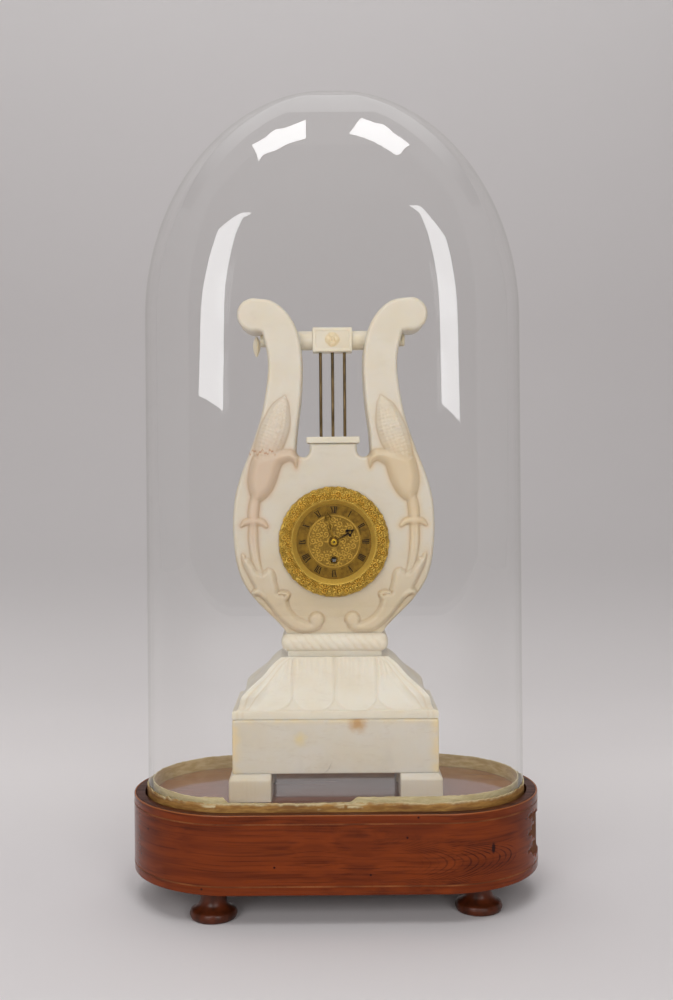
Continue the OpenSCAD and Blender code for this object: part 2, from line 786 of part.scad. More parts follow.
// Left ornament of the yoke: a ring with a hanging leaf bud.
module yoke_knob() {
    bud = curve([[0.6, -7.6], [2.1, -4.6], [2.7, -0.8], [2, 3], [0.6, 6]], 3);
    color("antiquewhite")
        difference() {
            union() {
                pin_ring(-1);
                translate([-yoke_end - 2.5, 0, yoke_level - 3])
                    rotate_extrude()
                        polygon(concat([[0, -7.6]], bud, [[0, 6]]));
            }
            yoke_rod(yoke_end, yoke_pin_radius);
        }
}

// Right ornament of the yoke, a plain ring.
module yoke_collar() {
    color("antiquewhite")
        pin_ring(1);
}

module string(i) {
    color("darkgoldenrod")
        string_rod(i - 2);
}

// Pressed gilt bezel: a swelling band with bosses, and a hollow that falls to the dial.
module bezel() {
    r = bezel_radius;
    h = bezel_height;
    inner = dial_radius + 0.05;
    width = r - inner;
    section = concat(
        [[dial_plate_radius, 0], [r, 0], [r, 0.12 * h]],
        arc([r - 0.32 * width, 0.16 * h], 0.32 * width, 0, 90, 6),
        [[r - 0.5 * width, 0.16 * h + 0.3 * width], [r - 0.58 * width, 0.86 * h], [r - 0.66 * width, h]],
        curve([[r - 0.7 * width, h], [inner + 0.14 * width, 0.6 * h], [inner, 0.3 * h]], 4),
        [[inner, 1], [dial_plate_radius, 1]]
    );
    color("goldenrod")
        translate([0, front_face, dial_level])
            rotate([90, 0, 0]) {
                rotate_extrude()
                    polygon(section);
                for (i = [0 : 11])
                    rotate([0, 0, 30 * i])
                        translate([r - 0.32 * width, 0, 0.45 * h])
                            sphere(0.26 * width);
            }
}

// Gilt plate behind the chapter ring, with three feet that carry the movement.
module dial_plate() {
    color("goldenrod")
        difference() {
            union() {
                dial_rod(dial_plate_front, front_face, dial_plate_radius);
                dial_rod(dial_plate_front - 0.5, front_face, dial_centre_diameter / 2);
                for (a = DIAL_FOOT_ANGLES)
                    dial_rod(front_face - 0.5, front_plate_back, 1, dial_foot_circle * [cos(a), sin(a)]);
            }
            dial_rod(dial_plate_front - 1, front_face + 0.01, hour_pipe_radius + 0.4);
            dial_rod(dial_plate_front - 1, front_face + 0.01, winding_radius + 1, barrel_at);
        }
}

// Ring that carries the hours.
module chapter_ring() {
    color("darkkhaki")
        difference() {
            dial_rod(chapter_front, dial_plate_front, dial_radius - 0.05);
            dial_rod(chapter_front - 1, dial_plate_front + 1, dial_centre_diameter / 2);
        }
}

// Flat outline of a hand that points up: a hub, a tapered stem, an open ring and a pointed tip.
module hand_outline(length, hub, bore, ring) {
    ring_at = length - 2.1 * ring;
    difference() {
        union() {
            circle(hub);
            polygon([[-0.75, 0], [0.75, 0], [0.45, ring_at], [-0.45, ring_at]]);
            translate([0, ring_at])
                circle(ring);
            polygon([[-0.8, ring_at + 0.8 * ring], [0.8, ring_at + 0.8 * ring], [0, length]]);
            for (side = [-1, 1])
                translate([side * ring, ring_at - 0.7 * ring])
                    circle(0.55 * ring);
        }
        translate([0, ring_at])
            circle(0.58 * ring);
        circle(bore);
    }
}

module hour_hand() {
    color("darkslategray")
        translate([0, hour_hand_y + hand_thickness, dial_level])
            rotate([0, hour_angle, 0])
                rotate([90, 0, 0])
                    linear_extrude(height = hand_thickness)
                        hand_outline(hour_hand_length, hour_pipe_radius + 0.9, hour_pipe_radius, 1.7);
}

module minute_hand() {
    color("darkslategray")
        translate([0, minute_hand_y + hand_thickness, dial_level])
            rotate([0, minute_angle, 0])
                rotate([90, 0, 0])
                    linear_extrude(height = hand_thickness)
                        hand_outline(minute_hand_length, cannon_radius + 0.9, cannon_radius, 1.5);
}

// Domed washer that holds the minute hand on the centre arbor.
module hand_collet() {
    color("goldenrod")
        translate([0, minute_hand_y, dial_level])
            rotate([90, 0, 0])
                rotate_extrude()
                    polygon(concat(
                        [[centre_radius, 0], [2.2, 0]],
                        arc([1.4, 0.2], 0.8, 0, 90, 4),
                        [[centre_radius, 1]]
                    ));
}

// Motion work under the dial: depths in front of the front plate.
cannon_y = front_plate_y - 1;
minute_wheel_y = front_plate_y - 1.6;
hour_wheel_y = front_plate_y - 3.4;

// Pinion with a long pipe that carries the minute hand.
module cannon_pinion() {
    color("silver")
        difference() {
            union() {
                dial_slab(cannon_y - 2.1, cannon_y)
                    polygon(pinion_outline(CANNON_LEAVES, cannon_module, centre_at, minute_at));
                dial_rod(minute_hand_y, cannon_y - 1, cannon_radius);
            }
            dial_rod(minute_hand_y - 1, cannon_y + 1, centre_radius);
        }
}

// Wheel and pinion that turn on a stud of the front plate.
module minute_wheel() {
    color("goldenrod")
        difference() {
            union() {
                dial_slab(minute_wheel_y - 0.8, minute_wheel_y, minute_at)
                    polygon(wheel_outline(MINUTE_TEETH, cannon_module, minute_at, centre_at));
                dial_slab(hour_wheel_y - 1, minute_wheel_y - 0.8, minute_at)
                    polygon(pinion_outline(MINUTE_LEAVES, hour_module, minute_at, centre_at));
            }
            dial_rod(hour_wheel_y - 2, front_plate_y, stud_radius + running_clearance, minute_at);
        }
}

// Wheel with a pipe that carries the hour hand and turns on the cannon pinion's pipe.
module hour_wheel() {
    color("goldenrod")
        difference() {
            union() {
                dial_slab(hour_wheel_y - 0.8, hour_wheel_y)
                    polygon(wheel_outline(HOUR_TEETH, hour_module, centre_at, minute_at));
                dial_rod(hour_hand_y, hour_wheel_y - 0.4, hour_pipe_radius);
            }
            dial_rod(hour_hand_y - 1, hour_wheel_y + 1, cannon_radius + running_clearance);
        }
}

// Holes that both plates share: pillar rivets and train pivots.
module plate_holes(y0, y1) {
    for (a = PILLAR_ANGLES)
        dial_rod(y0, y1, rivet_radius, pillar_circle * [cos(a), sin(a)]);
    for (at = [third_at, fourth_at, escape_at])
        dial_rod(y0, y1, pivot_radius + running_clearance, at);
    dial_rod(y0, y1, winding_radius + running_clearance, barrel_at);
}

// Front plate with the minute wheel's stud.
module front_plate() {
    color("goldenrod")
        difference() {
            union() {
                dial_rod(front_plate_y, front_plate_back, plate_radius);
                dial_rod(hour_wheel_y - 1.2, front_plate_back, stud_radius, minute_at);
            }
            plate_holes(front_plate_y - 1, front_plate_back + 1);
            dial_rod(front_plate_y - 1, front_plate_back + 1, centre_radius + running_clearance);
            dial_rod(front_plate_y - 1, front_plate_back + 1, pivot_radius + running_clearance, pallets_at);
            for (a = DIAL_FOOT_ANGLES)
                dial_rod(front_plate_y - 1, front_plate_back + 1, 1, dial_foot_circle * [cos(a), sin(a)]);
        }
}

// Back plate with the click's stud.
module back_plate() {
    color("goldenrod")
        difference() {
            union() {
                dial_rod(back_plate_y, back_plate_back, plate_radius);
                dial_rod(back_plate_y, back_plate_back + 1.8, stud_radius, click_at);
                dial_rod(back_plate_back + 1.8, back_plate_back + 2.3, 1.5, click_at);
            }
            plate_holes(back_plate_y - 1, back_plate_back + 1);
            dial_rod(back_plate_y - 1, back_plate_back + 1, pivot_radius + running_clearance);
            dial_rod(back_plate_y - 1, back_plate_back + 1, 1.4, pallets_at);
            for (side = [-1, 1])
                dial_rod(back_plate_y - 1, back_plate_back + 1, 0.9, cock_foot_at(side));
        }
}

// Turned pillar whose riveted ends fill the plates.
module pillar(i) {
    a = PILLAR_ANGLES[i - 1];
    at = pillar_circle * [cos(a), sin(a)];
    color("goldenrod") {
        dial_rod(front_plate_back, back_plate_y, pillar_radius, at);
        dial_rod(front_plate_y, back_plate_back, rivet_radius, at);
    }
}

// Mainspring barrel: depths behind the front plate.
drum_radius = 10 * train_module / 0.3;
drum_wall = 0.8;
cover_y = front_plate_back + 2;
drum_y = cover_y + 0.8;
great_wheel_y = drum_y + 11.2;

// Drum with the great wheel cut on its closed end.
module barrel_drum() {
    color("goldenrod")
        difference() {
            union() {
                dial_rod(drum_y, great_wheel_y, drum_radius, barrel_at);
                dial_slab(great_wheel_y, great_wheel_y + 1.2, barrel_at)
                    polygon(wheel_outline(BARREL_TEETH, train_module, barrel_at, centre_at));
            }
            dial_rod(drum_y - 1, great_wheel_y, drum_radius - drum_wall, barrel_at);
            dial_rod(drum_y - 1, great_wheel_y + 2, winding_radius + running_clearance, barrel_at);
        }
}

module barrel_cover() {
    color("goldenrod")
        difference() {
            dial_rod(cover_y, drum_y, drum_radius, barrel_at);
            dial_rod(cover_y - 1, drum_y + 1, winding_radius + running_clearance, barrel_at);
        }
}

// Coiled spring whose outer turn bears on the drum's wall.
module mainspring() {
    turns = 4;
    steps = 18;
    strip = 0.45;
    first = 3.6;
    last = drum_radius - drum_wall;
    function coil(i) = first + strip + (last - first - strip) * min(1, i / (steps * (turns - 0.4)));
    outside = [
        for (i = [0 : steps * turns])
            coil(i) * [cos(360 * i / steps), sin(360 * i / steps)]
    ];
    inside = [
        for (i = [steps * turns : -1 : 0])
            (coil(i) - strip) * [cos(360 * i / steps), sin(360 * i / steps)]
    ];
    color("steelblue")
        dial_slab(drum_y + 0.5, great_wheel_y - 0.5, barrel_at)
            polygon(concat(outside, inside));
}

// Arbor with a hub for the spring, a winding square in front and a seat for the ratchet behind.
module barrel_arbor() {
    side = 1.38 * winding_radius;
    color("silver") {
        dial_rod(front_plate_y - 0.3, back_plate_back + 2.3, winding_radius, barrel_at);
        dial_rod(drum_y + 0.3, great_wheel_y - 0.3, 3, barrel_at);
        dial_slab(front_face - 2.6, front_plate_y, barrel_at)
            square(side, center = true);
    }
}

// Saw-toothed wheel fixed on the arbor behind the back plate.
module ratchet_wheel() {
    teeth = [
        for (i = [0 : RATCHET_TEETH - 1], k = [0, 1])
            let (a = 360 * (i + 0.12 * k) / RATCHET_TEETH)
            (ratchet_radius - 0.9 * k) * [cos(a), sin(a)]
    ];
    color("silver")
        difference() {
            dial_slab(back_plate_back + 0.3, back_plate_back + 1.5, barrel_at)
                polygon(teeth);
            dial_rod(back_plate_back, back_plate_back + 2, winding_radius, barrel_at);
        }
}

// Click that turns on its stud, with its nose just clear of the ratchet's teeth.
module click() {
    nose = (ratchet_radius + 0.4) * [cos(10), sin(10)] + barrel_at - click_at;
    color("silver")
        difference() {
            union() {
                dial_rod(back_plate_back + 0.3, back_plate_back + 1.5, 1.8, click_at);
                dial_slab(back_plate_back + 0.3, back_plate_back + 1.5, click_at)
                    polygon([nose, nose + [1.6, 0.4], [1.5, 0.5], [-1.3, 0.4]]);
            }
            dial_rod(back_plate_back, back_plate_back + 2, stud_radius + running_clearance, click_at);
        }
}

// Arbor of one wheel of the train, with a pivot at each end.
module train_arbor(at) {
    dial_rod(front_plate_back + 0.2, back_plate_y - 0.2, arbor_radius, at);
    dial_rod(front_plate_y, back_plate_back, pivot_radius, at);
}

// Depths of the train's wheels and pinions.
centre_pinion_y = great_wheel_y - 0.7;
third_wheel_y = centre_pinion_y + 3.1;
centre_wheel_y = third_wheel_y + 1.6;
fourth_wheel_y = front_plate_back + 10;
escape_wheel_y = front_plate_back + 5;

// Centre wheel: its long arbor carries the minute hand in front.
module centre_wheel() {
    color("goldenrod") {
        dial_rod(minute_hand_y - 1, centre_pinion_y + 2.7, centre_radius);
        dial_rod(centre_pinion_y, back_plate_y - 0.2, arbor_radius);
        dial_rod(centre_pinion_y, back_plate_back, pivot_radius);
        dial_slab(centre_pinion_y, centre_pinion_y + 2.7)
            polygon(pinion_outline(CENTRE_LEAVES, train_module, centre_at, barrel_at));
        dial_slab(centre_wheel_y, centre_wheel_y + 1)
            polygon(wheel_outline(WHEEL_TEETH, train_module, centre_at, third_at));
    }
}

module third_wheel() {
    color("goldenrod") {
        train_arbor(third_at);
        dial_slab(centre_wheel_y - 0.4, centre_wheel_y + 1.4, third_at)
            polygon(pinion_outline(PINION_LEAVES, train_module, third_at, centre_at));
        dial_slab(third_wheel_y, third_wheel_y + 0.8, third_at)
            polygon(wheel_outline(WHEEL_TEETH, train_module, third_at, fourth_at));
    }
}

module fourth_wheel() {
    color("goldenrod") {
        train_arbor(fourth_at);
        dial_slab(third_wheel_y - 0.4, third_wheel_y + 1.2, fourth_at)
            polygon(pinion_outline(PINION_LEAVES, train_module, fourth_at, third_at));
        dial_slab(fourth_wheel_y, fourth_wheel_y + 1, fourth_at)
            polygon(wheel_outline(WHEEL_TEETH, train_module, fourth_at, escape_at));
    }
}

// Escape wheel with leaning pointed teeth.
module escape_wheel() {
    teeth = [
        for (i = [0 : ESCAPE_TEETH - 1], k = [0, 1])
            let (a = 360 * (i + 0.35 * k) / ESCAPE_TEETH)
            (escape_radius - 1.2 * k) * [cos(a), sin(a)]
    ];
    color("goldenrod") {
        train_arbor(escape_at);
        dial_slab(fourth_wheel_y - 1, fourth_wheel_y + 2, escape_at)
            polygon(pinion_outline(PINION_LEAVES, train_module, escape_at, fourth_at));
        dial_slab(escape_wheel_y, escape_wheel_y + 1, escape_at)
            polygon(teeth);
    }
}

// Anchor on its arbor; its nibs stay just clear of the escape wheel over the whole swing.
module pallets() {
    nib = (escape_radius + 0.75) * [sin(45), cos(45)] + escape_at - pallets_at;
    half = [[0, 2], [3.2, 1.4], [6.4, -1.4], [6.2, -3.6], nib, [4.9, -2], [2.6, -0.6], [0, -0.9]];
    n = len(half);
    color("silver") {
        dial_slab(escape_wheel_y - 0.1, escape_wheel_y + 1.1, pallets_at)
            polygon(concat(half, [for (i = [n - 2 : -1 : 1]) [-half[i][0], half[i][1]]]));
        dial_rod(front_plate_back + 0.2, cock_y - 0.2, arbor_radius, pallets_at);
        dial_rod(front_plate_y, cock_y + 1.2, pivot_radius, pallets_at);
    }
}

// Arm on the pallet arbor whose pin drives the pendulum.
crutch_y = back_plate_back + 2.4;
module crutch() {
    color("silver")
        difference() {
            union() {
                dial_rod(crutch_y, crutch_y + 1, 1.7, pallets_at);
                dial_slab(crutch_y, crutch_y + 1, pallets_at)
                    translate([-0.8, -crutch_length - 0.8])
                        square([1.6, crutch_length + 0.8]);
                dial_rod(crutch_y, pendulum_y + 1.6, crutch_pin_radius, pallets_at - [0, crutch_length]);
            }
            dial_rod(crutch_y - 1, crutch_y + 2, arbor_radius, pallets_at);
        }
}

// Bridge behind the back plate: it holds the pallet arbor and a stud for the pendulum.
cock_y = back_face + 4;
function cock_foot_at(side) = pallets_at + [side * 7.5, 0];
module back_cock() {
    color("goldenrod")
        difference() {
            union() {
                for (side = [-1, 1]) {
                    dial_rod(back_plate_back, cock_y + 2, 1.5, cock_foot_at(side));
                    dial_rod(back_plate_y, cock_y, 0.9, cock_foot_at(side));
                }
                dial_slab(cock_y, cock_y + 2, pallets_at)
                    square([15, 3], center = true);
                for (side = [-1, 1])
                    dial_rod(cock_y, cock_y + 2, 2.4, cock_foot_at(side));
                dial_rod(cock_y + 1.6, pendulum_y + 1.6, stud_radius, pallets_at);
                dial_rod(pendulum_y + 1.2, pendulum_y + 1.8, 1.6, pallets_at);
            }
            dial_rod(cock_y - 1, cock_y + 1.4, pivot_radius + running_clearance, pallets_at);
        }
}

// Wire rod that hangs by an eye on the stud, with a second eye round the crutch's pin.
module pendulum_rod() {
    bottom = pallets_at[1] - pendulum_length - bob_diameter / 2 - 2;
    color("darkgoldenrod")
        difference() {
            union() {
                dial_rod(pendulum_y - 0.9, pendulum_y + 0.9, 2, pallets_at);
                dial_rod(pendulum_y - 0.9, pendulum_y + 0.9, 1.6, pallets_at - [0, crutch_length]);
                translate([0, pendulum_y, dial_level + bottom])
                    cylinder(r = 0.7, h = pallets_at[1] - 1.2 - bottom);
            }
            dial_rod(pendulum_y - 2, pendulum_y + 2, stud_radius + running_clearance, pallets_at);
            dial_rod(
                pendulum_y - 2, pendulum_y + 2,
                crutch_pin_radius + running_clearance, pallets_at - [0, crutch_length]
            );
        }
}

// Lens-shaped bob screwed on the rod.
module pendulum_bob() {
    r = bob_diameter / 2;
    side = arc([0, 0], 1, 90, 0, 8);
    color("goldenrod")
        difference() {
            translate([0, pendulum_y, dial_level + pallets_at[1] - pendulum_length])
                rotate([90, 0, 0])
                    rotate_extrude()
                        polygon(concat(
                            [for (p = side) [r * p[0], 0.4 + 2.4 * p[1]]],
                            [for (i = [8 : -1 : 0]) [r * side[i][0], -0.4 - 2.4 * side[i][1]]]
                        ));
            translate([0, pendulum_y, dial_level + pallets_at[1] - pendulum_length - 2 * r])
                cylinder(r = 0.7, h = 4 * r);
        }
}

// Gilt ring behind the lyre that the straps draw against it.
module rear_ring() {
    color("goldenrod")
        difference() {
            dial_rod(back_face, back_face + 1.5, bore_radius + 6);
            dial_rod(back_face - 1, back_face + 2, plate_radius - 1.4);
        }
}

// Strap along the bore from the dial plate to the rear ring.
module strap(i) {
    side = i == 1 ? -1 : 1;
    color("goldenrod")
        dial_slab(front_face, back_face, [side * (plate_radius + 1.2), 0])
            square([1, 6], center = true);
}

base_carcass();
side_veneer();
string_upper();
string_lower();
for (i = [1 : 4])
    bun_foot(i);
glass_dome();
edging_band();
for (i = [1 : 4])
    plinth_foot(i);
plinth_block();
leaf_moulding();
rope_moulding();
lyre_body();
string_lip();
yoke_bar();
yoke_block();
yoke_knob();
yoke_collar();
for (i = [1 : 3])
    string(i);
bezel();
dial_plate();
chapter_ring();
hour_hand();
minute_hand();
hand_collet();
cannon_pinion();
minute_wheel();
hour_wheel();
front_plate();
back_plate();
for (i = [1 : 4])
    pillar(i);
barrel_drum();
barrel_cover();
mainspring();
barrel_arbor();
ratchet_wheel();
click();
centre_wheel();
third_wheel();
fourth_wheel();
escape_wheel();
pallets();
crutch();
back_cock();
pendulum_rod();
pendulum_bob();
rear_ring();
for (i = [1 : 2])
    strap(i);
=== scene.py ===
import math

import bpy
import numpy as np
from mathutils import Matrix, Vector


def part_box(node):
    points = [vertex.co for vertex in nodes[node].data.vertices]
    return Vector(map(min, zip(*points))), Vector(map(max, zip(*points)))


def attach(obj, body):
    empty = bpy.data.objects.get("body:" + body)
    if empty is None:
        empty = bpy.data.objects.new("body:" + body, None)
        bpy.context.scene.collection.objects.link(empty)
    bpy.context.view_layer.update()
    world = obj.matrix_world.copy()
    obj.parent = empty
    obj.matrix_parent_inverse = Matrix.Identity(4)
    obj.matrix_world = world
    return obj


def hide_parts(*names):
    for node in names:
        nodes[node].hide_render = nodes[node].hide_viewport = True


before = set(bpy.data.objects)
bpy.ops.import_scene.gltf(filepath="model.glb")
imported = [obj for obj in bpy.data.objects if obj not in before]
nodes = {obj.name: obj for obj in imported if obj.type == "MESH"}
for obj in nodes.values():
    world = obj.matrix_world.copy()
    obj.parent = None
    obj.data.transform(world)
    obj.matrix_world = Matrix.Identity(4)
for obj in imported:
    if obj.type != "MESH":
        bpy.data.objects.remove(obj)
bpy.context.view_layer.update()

# The stand's core: an oval block of softwood, stained red brown. A groove in its top takes the
# dome's foot, and the clock stands on the floor inside the groove. The rim outside is rounded by wear.
MM = 0.001


def limits(node):
    """Lowest and highest corner of a CAD node, in mm."""
    return [np.array(corner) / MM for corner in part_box(node)]


stand_low, stand_high = limits("side_veneer")
band_low, band_high = limits("edging_band")
END_RADIUS = stand_high[1]
HALF_STRAIGHT = stand_high[0] - END_RADIUS
STAND_TOP = stand_high[2]
STAND_BOTTOM = stand_low[2]
VENEER = 1.4
GROOVE_GAP, GROOVE_WIDTH = 1.3, 7.2
GROOVE_OUTER = band_high[1] + GROOVE_GAP
GROOVE_INNER = GROOVE_OUTER - GROOVE_WIDTH
GROOVE_FLOOR = band_low[2]
FLOOR_MIDDLE = GROOVE_INNER - 40
FLOOR_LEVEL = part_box("plinth_foot_1")[0].z / MM


def linear(code):
    """Linear RGBA of an sRGB hex colour."""
    srgb = np.array([int(code[i:i + 2], 16) for i in (0, 2, 4)]) / 255
    rgb = np.where(srgb <= 0.04045, srgb / 12.92, ((srgb + 0.055) / 1.055) ** 2.4)
    return (*(float(c) for c in rgb), 1.0)


def add(tree, kind, sockets=(), **settings):
    """Adds a node with its settings. sockets holds values or outputs to link, by name or number or in
    the sockets' own order."""
    node = tree.nodes.new("ShaderNode" + kind)
    for name, value in settings.items():
        setattr(node, name, value)
    for key, value in sockets.items() if isinstance(sockets, dict) else enumerate(sockets):
        if isinstance(value, bpy.types.NodeSocket):
            tree.links.new(value, node.inputs[key])
        else:
            node.inputs[key].default_value = value
    return node


def new_material(name, **sockets):
    """A material with one Principled shader: returns it, its tree and the shader."""
    made = bpy.data.materials.new(name)
    made.use_nodes = True
    tree = made.node_tree
    shader = tree.nodes["Principled BSDF"]
    for key, value in sockets.items():
        shader.inputs[key.replace("_", " ").title().replace("Ior", "IOR")].default_value = value
    return made, tree, shader


def blotches(tree, place, lengths, detail=3.0, rough=0.55):
    """Noise from 0 to 1 whose blotches have the given lengths in mm along the three axes of place."""
    scale = tuple(1 / (length * MM) for length in lengths)
    spread = add(tree, "Mapping", {"Vector": place, "Scale": scale})
    sockets = {"Vector": spread.outputs[0], "Scale": 1.0, "Detail": detail, "Roughness": rough}
    return add(tree, "TexNoise", sockets).outputs[0]


SMOOTH = {"interpolation_type": "SMOOTHSTEP"}
COLOURS = {"data_type": "RGBA"}


def tinted(tree, colour, tint, pattern, low, high, start=0.0, end=1.0):
    """Colour that turns to a tint as a pattern goes from low to high: the tint's share goes smoothly
    from start to end, and stays there outside."""
    share = add(tree, "MapRange", (pattern, low, high, start, end), **SMOOTH).outputs[0]
    return add(tree, "Mix", {0: share, 6: colour, 7: tint}, **COLOURS).outputs[2]


def polish(tree, shader, pattern, low, high, start, end):
    """Uneven polish: roughness that goes smoothly from start to end as a pattern goes from low to high."""
    rough = add(tree, "MapRange", (pattern, low, high, start, end), **SMOOTH).outputs[0]
    tree.links.new(rough, shader.inputs["Roughness"])


def grain(tree, shader, pattern, strength, depth):
    """Fine relief: a pattern that stands out of the surface by depth in mm."""
    relief = add(tree, "Bump", {"Height": pattern, "Strength": strength, "Distance": depth * MM})
    tree.links.new(relief.outputs[0], shader.inputs["Normal"])


def rounded(corners, radius, steps=4):
    """An open profile with its inner corners rounded: each becomes a parabola between the points
    that lie radius before and after it, or halfway to the next corner if that is nearer."""
    p = np.asarray(corners, float)
    at = p[1:-1]

    def toward(other):
        way = other - at
        return at + way * np.minimum(radius / np.linalg.norm(way, axis=1, keepdims=True), 0.5)

    a, b = toward(p[:-2])[:, None], toward(p[2:])[:, None]
    t = np.linspace(0, 1, steps + 1)[None, :, None]
    bends = (1 - t) ** 2 * a + 2 * t * (1 - t) * at[:, None] + t ** 2 * b
    return np.vstack([p[:1], bends.reshape(-1, 2), p[-1:]])


def dense(profile, step):
    """The profile with points added along it, so that none are further apart than step."""
    length = np.concatenate([[0], np.cumsum(np.linalg.norm(np.diff(profile, axis=0), axis=1))])
    even = np.linspace(0, length[-1], int(np.ceil(length[-1] / step)) + 1)
    where = np.unique(np.concatenate([even, length]))
    return np.stack([np.interp(where, length, profile[:, k]) for k in range(profile.shape[1])], 1)


def put(name, data):
    """New object at the origin with its mesh, lamp or lens, linked into the scene."""
    made = bpy.data.objects.new(name, data)
    bpy.context.scene.collection.objects.link(made)
    return made


def to_mesh(name, points, quads, triangles=None, uv=None, marks=None):
    """Mesh object from points in mm, with the faces turned outwards by the sign of the enclosed
    volume. uv holds one pair per face corner, and marks named numbers per point."""
    def volume(f):
        a, b, c = (points[f[:, k]] for k in range(3))
        return np.einsum("ij,ij->", a, np.cross(b, c))

    triangles = np.zeros((0, 3), int) if triangles is None else triangles
    total = volume(quads[:, :3]) + volume(quads[:, [0, 2, 3]]) + volume(triangles)
    turn = 1 if total > 0 else -1
    mesh = bpy.data.meshes.new(name)
    mesh.from_pydata(points * MM, [], quads[:, ::turn].tolist() + triangles[:, ::turn].tolist())
    if uv is not None:
        layer = mesh.uv_layers.new(name="surface")
        pairs = [uv[:len(quads)][:, ::turn].reshape(-1, 2)]
        pairs.append(np.zeros((3 * len(triangles), 2)))
        layer.data.foreach_set("uv", (np.vstack(pairs) * MM).ravel())
    for key, values in (marks or {}).items():
        mark = mesh.attributes.new(key, "FLOAT", "POINT")
        mark.data.foreach_set("value", np.asarray(values, np.float32))
    mesh.shade_smooth()
    mesh.set_sharp_from_angle(angle=math.radians(38))
    return put(name, mesh)


def skin(name, grid, caps=True, uv=None, marks=None):
    """Closed surface over rows of points, each row a loop. With caps both end rows are closed by a
    fan to their middle, and without them the last row joins the first, as round a ring."""
    rows, cols = grid.shape[:2]
    points = grid.reshape(-1, 3)
    i, j = np.meshgrid(np.arange(rows - (1 if caps else 0)), np.arange(cols), indexing="ij")
    up, right = (i + 1) % rows, (j + 1) % cols
    quads = np.stack([i * cols + j, i * cols + right, up * cols + right, up * cols + j], -1).reshape(-1, 4)
    corners = None
    if uv is not None:
        places = [uv[i, j], uv[i, j + 1], uv[up, j + 1], uv[up, j]]
        corners = np.stack(places, 2).reshape(-1, 4, 2)
    fans = None
    marks = {key: np.asarray(value, float).ravel() for key, value in (marks or {}).items()}
    if caps:
        first, last = np.arange(cols), (rows - 1) * cols + np.arange(cols)
        low, high = len(points), len(points) + 1
        points = np.vstack([points, grid[0].mean(0), grid[-1].mean(0)])
        fans = np.concatenate([
            np.stack([np.roll(first, -1), first, np.full(cols, low)], 1),
            np.stack([last, np.roll(last, -1), np.full(cols, high)], 1),
        ])
        ends = {key: [value[first].mean(), value[last].mean()] for key, value in marks.items()}
        marks = {key: np.append(value, ends[key]) for key, value in marks.items()}
    return to_mesh(name, points, quads, fans, corners, marks)


def coat(piece, material):
    """Puts one material all over a piece or a CAD node."""
    piece.data.materials.clear()
    piece.data.materials.append(material)


def fit(piece, body, slot, material, *replaced):
    """Gives a piece its material, ties it to its CAD body and hides the replaced nodes. slot is not used.
    """
    coat(piece, material)
    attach(piece, body)
    if replaced:
        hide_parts(*replaced)
    return piece


ROUND = 2 * math.pi
OVAL_LENGTH = 4 * HALF_STRAIGHT + ROUND * END_RADIUS
OVAL_STEPS = 640


def oval_places(steps=OVAL_STEPS):
    """Walk round the oval from the middle of its back, over the left end and the front: the distance
    walked, the x of the centre line, and the outward direction."""
    h, r = HALF_STRAIGHT, END_RADIUS
    s = np.linspace(0, OVAL_LENGTH, steps + 1)
    ends = np.cumsum([h, math.pi * r, 2 * h, math.pi * r])
    part = [s < end for end in ends]
    x = np.select(part, [-s, -h + 0 * s, s - ends[1] - h, h + 0 * s], h + ends[3] - s)
    quarter = math.pi / 2
    back, left, front = quarter + 0 * s, quarter + (s - h) / r, 3 * quarter + 0 * s
    turn = np.select(part, [back, left, front, (s - ends[2]) / r - quarter], quarter)
    return s, x, np.cos(turn), np.sin(turn)


WALK, OVAL_X, OUT_X, OUT_Y = oval_places()


def oval_sweep(radius, level):
    """Profile of radii and levels carried round the oval; both may also change along the walk."""
    radius, level = (np.atleast_2d(np.asarray(a, float).T).T for a in (radius, level))
    x = OVAL_X[:-1] + radius * OUT_X[:-1]
    y = radius * OUT_Y[:-1]
    return np.stack([x, y, level + 0 * x], -1)


core = rounded([
    (END_RADIUS - VENEER, STAND_BOTTOM), (END_RADIUS - VENEER, STAND_TOP), (GROOVE_OUTER, STAND_TOP),
    (GROOVE_OUTER, GROOVE_FLOOR), (FLOOR_MIDDLE, GROOVE_FLOOR),
], 0.5)
stand_core = skin("stand_core", oval_sweep(core[:, 0], core[:, 1]))


def stained(name, light, dark, low, high):
    """Stained softwood: red brown with long dark streaks and fine pores, and a polish of the given
    roughness range that is duller along the streaks."""
    wood, tree, shader = new_material(name, ior=1.5)
    place = add(tree, "TexCoord").outputs["Object"]
    streaks = blotches(tree, place, (90, 3.5, 60))
    pores = blotches(tree, place, (14, 0.9, 20))
    colour = tinted(tree, linear(light), linear(dark), streaks, 0.3, 0.7)
    colour = tinted(tree, colour, linear("2E130A"), pores, 0.55, 0.75, 0, 0.5)
    tree.links.new(colour, shader.inputs["Base Color"])
    polish(tree, shader, streaks, 0.2, 0.8, low, high)
    grain(tree, shader, pores, 0.25, 0.2)
    return wood, shader


# Handling has dulled the rim's polish, so it shows broad, soft highlights.
stained_wood, shader = stained("stained_softwood_rim_worn", "56260D", "361507", 0.34, 0.5)
shader.inputs["Specular IOR Level"].default_value = 0.2
fit(stand_core, "stand", "softwood", stained_wood, "base_carcass")

